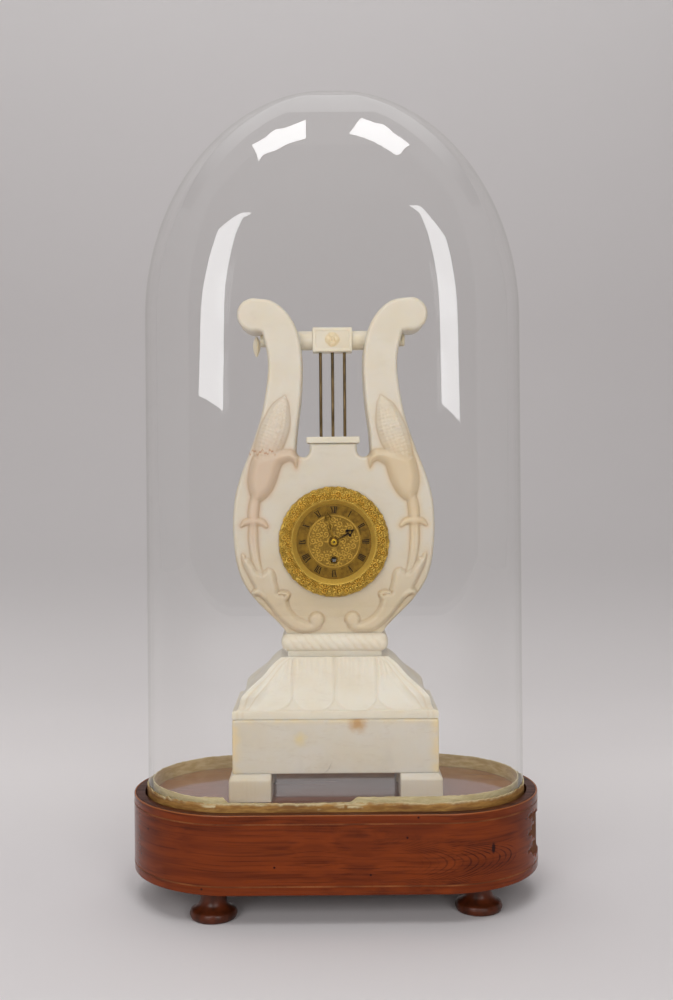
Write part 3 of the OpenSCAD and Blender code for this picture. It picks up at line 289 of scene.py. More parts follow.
# Floor under the dome: the same softwood, planed level for the plinth's feet. The dome has kept its thick
# french polish from wear, so it still mirrors what stands on it.
board = rounded([
    (GROOVE_INNER, GROOVE_FLOOR - 0.2), (GROOVE_INNER, FLOOR_LEVEL), (FLOOR_MIDDLE, FLOOR_LEVEL),
], 0.5)
stand_floor = skin("stand_floor", oval_sweep(board[:, 0], board[:, 1]))
floor_wood, shader = stained("stained_softwood_floor_polished", "96531F", "6E3612", 0.16, 0.3)
shader.inputs["Coat Weight"].default_value = 0.75
shader.inputs["Coat IOR"].default_value = 1.6
shader.inputs["Coat Roughness"].default_value = 0.08
fit(stand_floor, "stand", "softwood", floor_wood)

# Veneer round the stand: rosewood-coloured mahogany glued to the core and french polished. Its lower
# and upper edges are worn round, it has worm holes, and a strip is broken out at the right.
VENEER_STEP = 1.0
WORM_HOLES = [
    (222, 55.5), (211, 37), (313, 38.7), (267, 24.7), (403, 69.2), (396, 56.7), (373, 33.7), (484, 59.5),
    (501, 48),
]
KNOT = (452, 47.3)
CHIP_WALK, CHIP_LEVELS, CHIP_HALF = 526, (31, 60), 32
VENEER_BACK = END_RADIUS - VENEER + 0.05
skin_profile = dense(rounded([
    (VENEER_BACK, STAND_BOTTOM + 2), (VENEER_BACK, STAND_BOTTOM), (END_RADIUS, STAND_BOTTOM),
    (END_RADIUS, STAND_TOP), (VENEER_BACK, STAND_TOP), (VENEER_BACK, STAND_TOP - 2),
], 0.9), VENEER_STEP)


def waves(walk, seed, longest, shortest, count=24):
    """Uneven line round the oval between about -1 and 1: a sum of waves of random lengths from longest
    to shortest mm, each with a whole number of periods so that the line closes."""
    rng = np.random.default_rng(seed)
    periods = np.round(OVAL_LENGTH / np.geomspace(longest, shortest, count))
    phase = rng.uniform(0, ROUND, count)
    size = rng.uniform(0.4, 1, count) * (periods / periods[0]) ** -0.45
    line = (size[:, None] * np.sin(ROUND * periods[:, None] * walk / OVAL_LENGTH + phase[:, None])).sum(0)
    return line / np.abs(line).max()


def step_up(value, low, high):
    """Smooth step from 0 to 1 as value goes from low to high."""
    t = np.clip((value - low) / (high - low), 0, 1)
    return t * t * (3 - 2 * t)


radius = np.repeat(skin_profile[:, :1], OVAL_STEPS, 1)
level = np.repeat(skin_profile[:, 1:], OVAL_STEPS, 1)
walk = WALK[None, :-1]
ragged_low = CHIP_LEVELS[0] + 2.2 * waves(WALK[:-1], 4, 30, 3)
ragged_high = CHIP_LEVELS[1] + 3.2 * waves(WALK[:-1], 5, 24, 3)
ragged_side = CHIP_HALF + 5 * np.sin(level * 0.55) + 3 * np.sin(level * 1.7 + 1)
broken = step_up(level, ragged_low, ragged_low + 0.8) * step_up(-level, -ragged_high, 0.8 - ragged_high)
broken = broken * step_up(-np.abs(walk - CHIP_WALK), -ragged_side, 1.2 - ragged_side)
radius = radius - broken * (VENEER - 0.25) * (radius > END_RADIUS - 0.7)
veneer_skin = skin(
    "side_veneer_skin", oval_sweep(radius, level), caps=False,
    uv=np.stack(np.broadcast_arrays(WALK[None, :], skin_profile[:, 1:]), -1), marks={"broken": broken},
)

# French polish gives a clear gloss over fine straight grain that runs round the stand. On the right the
# grain bends back on itself in nested loops beside a knot.
VENEER_RED, VENEER_BROWN, VENEER_DARK = linear("7A330E"), linear("642709"), linear("2E0F05")
LOOP_TIP, LOOP_HALF, LOOP_FALL, LOOP_SPACING = (466, 41), 15, 45, 5.0
LOOPS_BEGIN, LOOPS_FULL, LOOPS_END = LOOP_TIP[0] - 75, LOOP_TIP[0] - 15, LOOP_TIP[0] + 14
# Depths under the top between which the pale painted highlight line along the veneer's edge runs.
EDGE_HIGHLIGHT = (0.8, 0.2)
veneer_wood, tree, shader = new_material("mahogany_veneer_french_polished", ior=1.45)
shader.inputs["Specular IOR Level"].default_value = 0.2
surface = add(tree, "UVMap", uv_map="surface").outputs[0]
wander = add(tree, "TexNoise", {"Vector": surface, "Scale": 1 / (60 * MM), "Detail": 1.0})
shift = add(tree, "VectorMath", (wander.outputs[1], (0.5, 0.5, 0.5)), operation="SUBTRACT")
shift = add(tree, "VectorMath", {0: shift.outputs[0], 3: 5 * MM}, operation="SCALE")
bent = add(tree, "VectorMath", (surface, shift.outputs[0]), operation="ADD").outputs[0]
streaks = blotches(tree, bent, (90, 1.3, 1), 4)
bands = blotches(tree, bent, (300, 6, 1), 2)
pores = blotches(tree, surface, (6, 0.45, 1), 2)
colour = tinted(tree, VENEER_RED, VENEER_BROWN, bands, 0.35, 0.68)
colour = tinted(tree, colour, VENEER_DARK, streaks, 0.47, 0.7, 0, 0.5)
colour = tinted(tree, colour, VENEER_DARK, pores, 0.6, 0.8, 0, 0.35)
u, w, _ = add(tree, "SeparateXYZ", (bent,)).outputs
rise = add(tree, "Math", (w, LOOP_TIP[1] * MM), operation="SUBTRACT").outputs[0]
steep = add(tree, "Math", (rise, rise), operation="MULTIPLY").outputs[0]
loop = add(tree, "Math", (steep, LOOP_FALL / (LOOP_HALF ** 2 * MM), u), operation="MULTIPLY_ADD").outputs[0]
phase = add(tree, "Math", (loop, ROUND / (LOOP_SPACING * MM)), operation="MULTIPLY").outputs[0]
ring = add(tree, "Math", (phase,), operation="SINE").outputs[0]
near = add(tree, "MapRange", (loop, LOOPS_BEGIN * MM, LOOPS_FULL * MM), **SMOOTH).outputs[0]
past = add(tree, "MapRange", (loop, LOOP_TIP[0] * MM, LOOPS_END * MM, 1, 0), **SMOOTH).outputs[0]
patchy = blotches(tree, surface, (9, 9, 1), 2)
patchy = add(tree, "MapRange", (patchy, 0.35, 0.6, 0.15, 0.85), **SMOOTH).outputs[0]
share = add(tree, "MapRange", (ring, 0.35, 1.0), **SMOOTH).outputs[0]
for part in (near, past, patchy):
    share = add(tree, "Math", (share, part), operation="MULTIPLY").outputs[0]
colour = add(tree, "Mix", {0: share, 6: colour, 7: VENEER_DARK}, **COLOURS).outputs[2]
for spot, wide, high in [(hole, 0.7, 0.7) for hole in WORM_HOLES] + [(KNOT, 1.3, 3.2)]:
    away = add(tree, "Mapping", {
        "Vector": surface, "Scale": (1 / (wide * MM), 1 / (high * MM), 1),
        "Location": (-spot[0] / wide, -spot[1] / high, 0),
    })
    reach = add(tree, "VectorMath", (away.outputs[0],), operation="LENGTH").outputs["Value"]
    colour = tinted(tree, colour, linear("1A0906"), reach, 0.6, 1.4, 0.9, 0)
upright = add(tree, "SeparateXYZ", (surface,)).outputs[1]
# Painted highlight: a pale line along the veneer's top edge stands in for the shine on its rounded arris.
wear_and_highlight = [(STAND_TOP - below) * MM for below in EDGE_HIGHLIGHT]
colour = tinted(tree, colour, linear("A5653C"), upright, *wear_and_highlight, 0, 0.7)
torn = add(tree, "Attribute", attribute_name="broken").outputs["Fac"]
colour = add(tree, "Mix", {0: torn, 6: colour, 7: linear("70452A")}, **COLOURS).outputs[2]
tree.links.new(colour, shader.inputs["Base Color"])
polish(tree, shader, torn, 0, 1, 0.2, 0.8)
grain(tree, shader, pores, 0.15, 0.12)
fit(veneer_skin, "stand", "mahogany_veneer", veneer_wood, "side_veneer")

# Two stringing lines of boxwood, laid in grooves in the veneer near its edges and a hair proud of it. Old
# polish has turned the yellow wood dull brown, spotted darker where dirt has settled.
STRING_PROUD = 0.06
boxwood, tree, shader = new_material("boxwood_stringing_polished", roughness=0.5, specular_ior_level=0.12)
place = add(tree, "TexCoord").outputs["Object"]
stain = blotches(tree, place, (26, 26, 9))
fine = blotches(tree, place, (2, 2, 2))
colour = tinted(tree, linear("8A4F28"), linear("5E2E14"), stain, 0.3, 0.7)
colour = tinted(tree, colour, linear("4C2412"), fine, 0.5, 0.8, 0, 0.5)
tree.links.new(colour, shader.inputs["Base Color"])
for name in ("string_upper", "string_lower"):
    low, high = limits(name)
    face = END_RADIUS + STRING_PROUD
    section = rounded([(face - 0.6, low[2]), (face, low[2]), (face, high[2]), (face - 0.6, high[2])], 0.3)
    strip = skin(name.replace("string", "stringing"), oval_sweep(section[:, 0], section[:, 1]), caps=False)
    fit(strip, "stand", "stringing", boxwood, name)

# Four bun feet, turned from hardwood and glued under the stand: a flat round edge under a neck that flares
# into it. Rubbed polish gives uneven highlights over dark upright streaks.
TURNED_STEPS = 72
BUN_PROFILE = np.array([
    (0.86, 0), (0.94, 0.03), (0.995, 0.13), (0.985, 0.2), (0.93, 0.28), (0.75, 0.35), (0.62, 0.44),
    (0.55, 0.58), (0.53, 0.76), (0.55, 0.99),
])


def spline(points, steps):
    """Smooth curve through all the points (a uniform cubic through each neighbouring four)."""
    p = np.asarray(points, float)
    padded = np.vstack([2 * p[0] - p[1], p, 2 * p[-1] - p[-2]])
    a, b, c, d = (padded[k:len(p) - 1 + k, None] for k in range(4))
    t = np.linspace(0, 1, steps, endpoint=False)[None, :, None]
    square, cube = 2 * a - 5 * b + 4 * c - d, 3 * b - a - 3 * c + d
    runs = 0.5 * (2 * b + (c - a) * t + square * t ** 2 + cube * t ** 3)
    return np.vstack([runs.reshape(-1, p.shape[1]), p[-1:]])


def turned(profile, middle, axis=2, steps=TURNED_STEPS):
    """Profile of radii and places along an axis, spun round that axis through middle."""
    angle = np.linspace(0, ROUND, steps, endpoint=False)
    across, over = [k for k in range(3) if k != axis]
    grid = np.zeros((len(profile), steps, 3)) + np.asarray(middle, float)
    grid[..., across] += profile[:, :1] * np.cos(angle)
    grid[..., over] += profile[:, :1] * np.sin(angle)
    grid[..., axis] += profile[:, 1:]
    return grid


turned_wood, tree, shader = new_material("turned_hardwood_polished", roughness=0.22, specular_ior_level=0.3)
place = add(tree, "TexCoord").outputs["Object"]
streaks = blotches(tree, place, (8, 8, 30), 2)
colour = tinted(tree, linear("5C2913"), linear("34180B"), streaks, 0.3, 0.72)
tree.links.new(colour, shader.inputs["Base Color"])
rub = blotches(tree, place, (6, 6, 4))
polish(tree, shader, rub, 0.3, 0.7, 0.28, 0.42)
for k in range(1, 5):
    low, high = limits(f"bun_foot_{k}")
    r, h = (high[0] - low[0]) / 2, STAND_BOTTOM
    side = spline(BUN_PROFILE * (r, h), 5)
    foot = skin(f"bun_foot_turned_{k}", turned(side, ((low[0] + high[0]) / 2, (low[1] + high[1]) / 2, 0)))
    fit(foot, "stand", "turned_wood", turned_wood, f"bun_foot_{k}")

# Four feet of the plinth: square blocks of alabaster with a sloped shoulder, rubbed soft at the edges and
# glued under its corners. Saw marks show under the wax as faint warm upright lines.
EDGE_STEPS = 8


def box_ring(half_x, half_y, corner, steps=EDGE_STEPS):
    """Loop round a rectangle with round corners, for arrays of half sizes: rows x points x 2."""
    angle = np.concatenate([np.linspace(0, math.pi / 2, steps) + k * math.pi / 2 for k in range(4)])
    sign_x = np.repeat([1, -1, -1, 1], steps)
    sign_y = np.repeat([1, 1, -1, -1], steps)
    half_x, half_y, corner = (np.reshape(a, (-1, 1)) for a in (half_x, half_y, corner))
    x = sign_x * (half_x - corner) + corner * np.cos(angle)
    y = sign_y * (half_y - corner) + corner * np.sin(angle)
    return np.stack([x, y], -1)


def block(profile, half_x, half_y, corner, middle=(0, 0)):
    """Stack of rectangles: profile gives how far each is drawn in, and its level."""
    inset, level = profile[:, 0], profile[:, 1]
    corners = np.full(len(profile), corner)
    ring = box_ring(half_x - inset, half_y - inset, corners) + np.asarray(middle, float)
    height = np.broadcast_to(level[:, None, None], (*ring.shape[:2], 1))
    return np.concatenate([ring, height], -1)


def alabaster(name, pale, warm, deep, flaw=0.35):
    """Worked and waxed alabaster: milky and slightly see-through, with soft clouds of a warmer tint,
    deeper flaws, thin veins and a low waxy gloss. flaw is the share of the deeper tint in the flaws."""
    stone, tree, shader = new_material(name, roughness=0.42, ior=1.52)
    shader.inputs["Subsurface Weight"].default_value = 0.6
    shader.inputs["Subsurface Radius"].default_value = (1.0, 0.82, 0.6)
    shader.inputs["Subsurface Scale"].default_value = 5 * MM
    place = add(tree, "TexCoord").outputs["Object"]
    clouds = blotches(tree, place, (38, 38, 30), 3)
    grey = blotches(tree, place, (16, 16, 22), 4, 0.6)
    colour = tinted(tree, linear(pale), linear(warm), clouds, 0.35, 0.7)
    colour = tinted(tree, colour, linear(deep), grey, 0.5, 0.8, 0, flaw)
    veins = blotches(tree, place, (70, 70, 14), 5, 0.7)
    thin = add(tree, "Math", (veins, 0.5), operation="SUBTRACT")
    thin = add(tree, "Math", (thin.outputs[0],), operation="ABSOLUTE").outputs[0]
    colour = tinted(tree, colour, linear("B9A68A"), thin, 0.0, 0.012, 0.22 * flaw / 0.35, 0)
    grit = blotches(tree, place, (0.9, 0.9, 0.9), 2)
    polish(tree, shader, grey, 0.3, 0.8, 0.36, 0.5)
    grain(tree, shader, grit, 0.06, 0.1)
    return stone, tree, shader, colour, place


plinth_stone, tree, shader, colour, place = alabaster(
    "alabaster_plinth_waxed", "D4CAB9", "D2C4A9", "C2B59F",
)
lines = blotches(tree, place, (1.6, 1.6, 60), 3)
colour = tinted(tree, colour, linear("C9B795"), lines, 0.5, 0.75, 0, 0.35)
tree.links.new(colour, shader.inputs["Base Color"])
SHOULDER, FOOT_EDGE = 2.3, 0.6
for k in range(1, 5):
    low, high = limits(f"plinth_foot_{k}")
    middle, half = (low + high) / 2, (high - low) / 2
    outward = np.sign(middle[:2])
    shape = dense(rounded([
        (1.2, low[2]), (0, low[2]), (0, high[2] - 3.7), (1.0, high[2] - 2), (SHOULDER, high[2] - 0.2),
        (SHOULDER, high[2]),
    ], 0.8), 3)
    drawn = np.clip(shape[:, :1], 0, SHOULDER)
    ring = box_ring(half[0] - drawn / 2, half[1] - drawn / 2, np.full(len(shape), FOOT_EDGE + 0.6))
    ring = ring + middle[:2] - (drawn / 2)[:, None] * outward
    grid = np.concatenate([ring, np.broadcast_to(shape[:, 1][:, None, None], (*ring.shape[:2], 1))], -1)
    fit(skin(f"plinth_foot_stone_{k}", grid), "stand", "alabaster", plinth_stone, f"plinth_foot_{k}")

# The plinth: a sawn block of greyer alabaster that carries the mouldings. Age has yellowed its edges and
# left a rust stain and a hairline crack on its front.
low, high = limits("plinth_block")
PLINTH_TOP, PLINTH_BOTTOM = high[2], low[2]
PLINTH_HALF_X, PLINTH_HALF_Y = high[0], high[1]
STAIN = (14.5, -PLINTH_HALF_Y, PLINTH_TOP - 3)
CRACK = (-4.5, PLINTH_BOTTOM + 3.2)
YELLOW_SIDE, YELLOW_TOP = 9, 5
shape = dense(rounded([
    (1.5, PLINTH_BOTTOM), (0, PLINTH_BOTTOM), (0, PLINTH_TOP - 1.4), (0.9, PLINTH_TOP), (2, PLINTH_TOP),
], 0.7), 4)
plinth = skin("plinth_block_stone", block(shape, PLINTH_HALF_X, PLINTH_HALF_Y, 1.2))
block_stone, tree, shader, colour, place = alabaster(
    "alabaster_block_sawn", "D2CABC", "D0C5B0", "C0B6A7", 0.5,
)
x, y, z = add(tree, "SeparateXYZ", (place,)).outputs
side = add(tree, "Math", (x,), operation="ABSOLUTE").outputs[0]
patchy = blotches(tree, place, (9, 9, 9))
yellowed = (PLINTH_HALF_X - YELLOW_SIDE) * MM, PLINTH_HALF_X * MM
edge = add(tree, "MapRange", (side, *yellowed, 0, 0.8), **SMOOTH).outputs[0]
yellowed = (PLINTH_TOP - YELLOW_TOP) * MM, PLINTH_TOP * MM
top = add(tree, "MapRange", (z, *yellowed, 0, 0.7), **SMOOTH).outputs[0]
edge = add(tree, "Math", (edge, top), operation="MAXIMUM").outputs[0]
patchy = add(tree, "MapRange", (patchy, 0.3, 0.65), **SMOOTH).outputs[0]
edge = add(tree, "Math", (edge, patchy), operation="MULTIPLY").outputs[0]
colour = add(tree, "Mix", {0: edge, 6: colour, 7: linear("DFC68F")}, **COLOURS).outputs[2]
for spot, size, tint in ((STAIN, 8.4, "B47E10"), ((-23, -PLINTH_HALF_Y, PLINTH_TOP - 13), 6, "D8C48C")):
    spot = tuple(c * MM for c in spot)
    reach = add(tree, "VectorMath", (place, spot), operation="DISTANCE").outputs["Value"]
    ragged = add(tree, "MapRange", {0: blotches(tree, place, (4, 4, 4)), 3: -3 * MM, 4: 3 * MM}).outputs[0]
    reach = add(tree, "Math", (reach, ragged), operation="ADD").outputs[0]
    colour = tinted(tree, colour, linear(tint), reach, 0.1 * size * MM, size * MM, 0.8, 0)
bent = blotches(tree, place, (5, 5, 3), 3)
swing = add(tree, "MapRange", {0: bent, 3: (CRACK[0] - 5) * MM, 4: (CRACK[0] + 5) * MM}).outputs[0]
lean = add(tree, "Math", (z, -0.7, (0.7 * CRACK[1]) * MM), operation="MULTIPLY_ADD").outputs[0]
line = add(tree, "Math", (x, swing), operation="SUBTRACT").outputs[0]
line = add(tree, "Math", (line, lean), operation="ADD").outputs[0]
line = add(tree, "Math", (line,), operation="ABSOLUTE").outputs[0]
spot = (CRACK[0] * MM, -PLINTH_HALF_Y * MM, CRACK[1] * MM)
here = add(tree, "VectorMath", (place, spot), operation="DISTANCE").outputs["Value"]
thin = add(tree, "MapRange", (line, 0.05 * MM, 0.4 * MM, 0.7, 0), **SMOOTH).outputs[0]
short = add(tree, "MapRange", (here, 2 * MM, 6 * MM, 1, 0), **SMOOTH).outputs[0]
crack = add(tree, "Math", (thin, short), operation="MULTIPLY").outputs[0]
colour = add(tree, "Mix", {0: crack, 6: colour, 7: linear("6E5E48")}, **COLOURS).outputs[2]
tree.links.new(colour, shader.inputs["Base Color"])
fit(plinth, "stand", "alabaster", block_stone, "plinth_block")

# Leaf moulding: a reversed ogee of pale alabaster over a plain fillet, carved with broad water leaves,
# four on each long side and two on each short one, and a folded leaf down each corner.
LEAVES = (4, 2)
LEAF_LIFT, SEAM_DEPTH, SEAM_WIDTH, CORNER_SWELL = 0.8, 0.45, 0.9, 7.4
LEAF_WIDTH = 27.7
LEAF_COLUMNS, LEAF_ROWS = 56, 84
FILLET = 0.13
TOP_HALF_X, TOP_HALF_Y = 35.5, 22.0
low, high = limits("leaf_moulding")
MOULDING_BOTTOM, MOULDING_TOP = low[2], high[2]
draw = spline([
    (0, 0), (FILLET, 0.01), (0.15, 0.1), (0.22, 0.18), (0.38, 0.33), (0.5, 0.46), (0.64, 0.59),
    (0.82, 0.75), (0.92, 0.87), (1, 1),
], 12)
v = np.linspace(0, 1, LEAF_ROWS)
drawn = np.interp(v, draw[:, 0], draw[:, 1])[:, None]
v = v[:, None]


def leaf_side(count, half_along):
    """Swell of one side's leaves over its height. Each is a smooth tongue with a round tip over the
    fillet, parted from the next by a thin groove, with a midrib and soft ruffles under the neck. The
    inner leaves keep their width, and the outer ones grow narrow with the side."""
    u = np.linspace(-1, 1, count * LEAF_COLUMNS, endpoint=False)[None, :]
    inner = (count // 2 - 1) * LEAF_WIDTH
    aside, outer = np.abs(u) * half_along, half_along - inner
    half_leaf = np.where(aside < inner, LEAF_WIDTH, outer) / 2
    s = 2 * np.mod(np.where(aside < inner, aside / LEAF_WIDTH, (aside - inner) / outer), 1) - 1
    tip = step_up(v - FILLET - 0.2 * np.abs(s) ** 4, -0.005, 0.035)
    seam = np.exp(-((1 - np.abs(s)) * half_leaf / SEAM_WIDTH) ** 2)
    crown = 0.7 + 0.3 * (1 - s * s)
    ruffle = 0.5 * np.cos(5 * math.pi * s) * step_up(v, 0.5, 0.98)
    ruffle = ruffle + 0.08 * np.cos(3 * math.pi * s) * (1 - v)
    midrib = 0.15 * np.exp(-(s * half_leaf / 0.7) ** 2) * step_up(v, 0.35, 0.8)
    swell = tip * (LEAF_LIFT * crown - SEAM_DEPTH * seam + ruffle - midrib) * (1 - 0.4 * v ** 3)
    corner = step_up(np.abs(u), 1 - 12 / half_along, 1)
    rise = step_up(v, FILLET, 0.42) * (1 - step_up(v, 0.44, 0.78))
    folds = np.cos(2.5 * ROUND * corner)
    ribs = 0.9 + 0.1 * folds * step_up(v, 0.2, 0.5)
    creases = step_up(folds, 0.3, 1) * step_up(corner, 0.15, 0.4)
    hollow = 0.5 * tip * seam * (1 - corner) + (1 - tip) * 0.5 + creases
    return u, swell * (1 - corner) + CORNER_SWELL * rise * ribs * corner, corner * np.sign(u), hollow


def moulding_wall(half_along, half_out, count):
    """One side: places along it and out from it, with the swell turned to the diagonal at its corners."""
    u, swell, corner, hollow = leaf_side(count, half_along)
    norm = np.sqrt(1 + corner ** 2)
    return u * half_along + swell * corner / norm, half_out + swell / norm, hollow


half_x = PLINTH_HALF_X - drawn * (PLINTH_HALF_X - TOP_HALF_X)
half_y = PLINTH_HALF_Y - drawn * (PLINTH_HALF_Y - TOP_HALF_Y)
long_u, long_out, long_hollow = moulding_wall(half_x, half_y, LEAVES[0])
short_u, short_out, short_hollow = moulding_wall(half_y, half_x, LEAVES[1])
x = np.hstack([long_u, short_out, -long_u, -short_out])
y = np.hstack([-long_out, short_u, long_out, -short_u])
hollow = np.hstack([long_hollow, short_hollow, long_hollow, short_hollow])
z = MOULDING_BOTTOM + v * (MOULDING_TOP - MOULDING_BOTTOM) + 0 * x
leaves = skin("leaf_moulding_carved", np.stack([x, y, z], -1), marks={"hollow": hollow})
# Wax and dust tint the hollows between the leaves, and the ribs are rubbed pale.
leaf_stone, tree, shader, colour, place = alabaster(
    "alabaster_moulding_carved", "E2DBCB", "DED3BD", "D2C6AF", 0.25,
)
hollow = add(tree, "Attribute", attribute_name="hollow").outputs["Fac"]
colour = tinted(tree, colour, linear("CDB588"), hollow, 0.1, 1.0, 0, 0.3)
tree.links.new(colour, shader.inputs["Base Color"])
fit(leaves, "stand", "alabaster", leaf_stone, "leaf_moulding")

# Neck and rope moulding: a plain fillet and a half-round carved as a slanting rope, in one piece of the
# leaf moulding's pale alabaster, and glued between that moulding and the lyre.
ROPE_STRANDS, ROPE_GROOVE, ROPE_SWELL, ROPE_SLANT = 36, 0.5, 4.4, 1.5
ROPE_COLUMNS, ROPE_REACH = 14, 4.55
low, high = limits("rope_moulding")
NECK_HALF_X, NECK_HALF_Y = high[0] - ROPE_REACH, high[1] - ROPE_REACH
NECK_HEIGHT = 3.6
ROPE_HEIGHT = high[2] - low[2] - NECK_HEIGHT
v = (1 - np.cos(np.linspace(0, math.pi, 26))) / 2
half_round = np.sqrt(np.clip(1 - (2 * v - 1) ** 2, 0, 1))
swell = np.concatenate([[0.1, 0.1, 0.12], 0.1 + ROPE_SWELL * half_round])[:, None]
rise = np.concatenate([[0, 1.2, 3.3], NECK_HEIGHT + v * ROPE_HEIGHT])[:, None]
turn_share = np.concatenate([[0, 0, 0], v])[:, None]
ring = box_ring([NECK_HALF_X + 1], [NECK_HALF_Y + 1], [1.0], 12)[0]
loop = np.vstack([ring, ring[:1]])
length = np.concatenate([[0], np.cumsum(np.linalg.norm(np.diff(loop, axis=0), axis=1))])
even = np.linspace(0, length[-1], ROPE_STRANDS * ROPE_COLUMNS, endpoint=False)
px, py = (np.interp(even, length, loop[:, k]) for k in (0, 1))
out = np.stack([np.gradient(py), -np.gradient(px)])
out = out / np.linalg.norm(out, axis=0)
share = np.arange(len(even)) / ROPE_COLUMNS
strand = np.abs(np.cos(math.pi * (share + ROPE_SLANT * turn_share)))
reach = swell - 1 - ROPE_GROOVE * (1 - strand) * np.clip((swell - 0.4) / 2, 0, 1)
grid = np.stack([px + out[0] * reach, py + out[1] * reach, low[2] + rise + 0 * reach], -1)
rope = skin("rope_moulding_carved", grid, marks={"hollow": 0.6 * (1 - strand) * np.clip(swell / 3, 0, 1)})
fit(rope, "stand", "alabaster", leaf_stone, "rope_moulding")

# The lyre: a slab of alabaster sawn to its outline, bored for the movement and carved in low relief on
# the front with two corn cobs in cups on stems, a blade below each and leafy crooks that end in volutes.
low, high = limits("lyre_body")
LYRE_BOTTOM, LYRE_BACK = low[2], high[1]
LYRE_FRONT = -LYRE_BACK
DIAL_HEIGHT, BORE = 60.9, 24.5
DIAL_LEVEL = LYRE_BOTTOM + DIAL_HEIGHT
LYRE_STEP = 0.55
ARRIS = 2.5
PAIRS_AT_ONCE = 1500000


def arc(middle, radius, start, end, steps):
    """Points of an arc round middle, between two angles in degrees."""
    a = np.radians(np.linspace(start, end, steps))
    return np.stack([middle[0] + radius * np.cos(a), middle[1] + radius * np.sin(a)], 1)


outside = spline([
    (31.1, 0), (39.1, 8.7), (52.3, 22), (60.9, 34.6), (65.3, 48.6), (67.2, 68.6), (66.2, 87.8),
    (62, 104.5), (54.2, 125.1), (47.3, 147.1), (43.6, 169.7), (43.4, 185), (47.3, 202.5),
], 10)
inside = spline([
    (48.2, 223), (41.3, 221.9), (34.9, 218.2), (29.2, 212.3), (24.9, 204.9), (22.3, 197.2), (20.7, 187),
    (20.3, 174.4), (21.5, 155.1), (24.1, 134.6), (25.1, 121.8),
], 10)
scroll = arc((52.5, 212.3), 11.1, -100, 100, 40)
notch = arc((20.4, 121.8), 4.7, 0, -180, 24)
half = np.vstack([outside[:-1], scroll, inside[1:-1], notch, [(15.7, 126.4)]])
lyre_outline = np.vstack([half, half[::-1] * (-1, 1)])


def nearest_on(points, path):
    """Nearest place on a line of points: its distance, its number along the line with the share of the
    next step, and the place itself. Works through the points in blocks."""
    a, run = path[:-1], np.diff(path, axis=0)
    squared = np.maximum((run ** 2).sum(1), 1e-12)
    found = []
    for some in np.array_split(points, max(1, len(points) * len(a) // PAIRS_AT_ONCE)):
        t = np.clip(((some[:, None] - a) * run).sum(2) / squared, 0, 1)
        feet = a + t[..., None] * run
        gap = ((some[:, None] - feet) ** 2).sum(2)
        best = gap.argmin(1)
        row = np.arange(len(some))
        found.append(np.column_stack([np.sqrt(gap[row, best]), best + t[row, best], feet[row, best]]))
    found = np.vstack(found)
    return found[:, 0], found[:, 1], found[:, 2:]


def within(points, outline):
    """True for points inside a closed outline, by counting the edges to the right of each."""
    a, b = outline, np.roll(outline, -1, 0)
    counts = []
    for some in np.array_split(points, max(1, len(points) * len(a) // PAIRS_AT_ONCE)):
        x, z = some[:, :1], some[:, 1:]
        spans = (a[:, 1] > z) != (b[:, 1] > z)
        rise = np.where(np.abs(b[:, 1] - a[:, 1]) < 1e-12, 1e-12, b[:, 1] - a[:, 1])
        counts.append((spans & (x < a[:, 0] + (z - a[:, 1]) / rise * (b[:, 0] - a[:, 0]))).sum(1))
    return np.concatenate(counts) % 2 == 1


def edge_depth(points, outline, holes):
    """How deep points lie inside the outline and outside the round holes, with the nearest edge place."""
    gap, _, foot = nearest_on(points, np.vstack([outline, outline[:1]]))
    depth = np.where(within(points, outline), gap, -gap)
    for x, z, r in holes:
        away = points - (x, z)
        far = np.maximum(np.linalg.norm(away, axis=1), 1e-9)
        closer = far - r < depth
        foot = np.where(closer[:, None], (x, z) + away * (r / far)[:, None], foot)
        depth = np.minimum(depth, far - r)
    return depth, foot


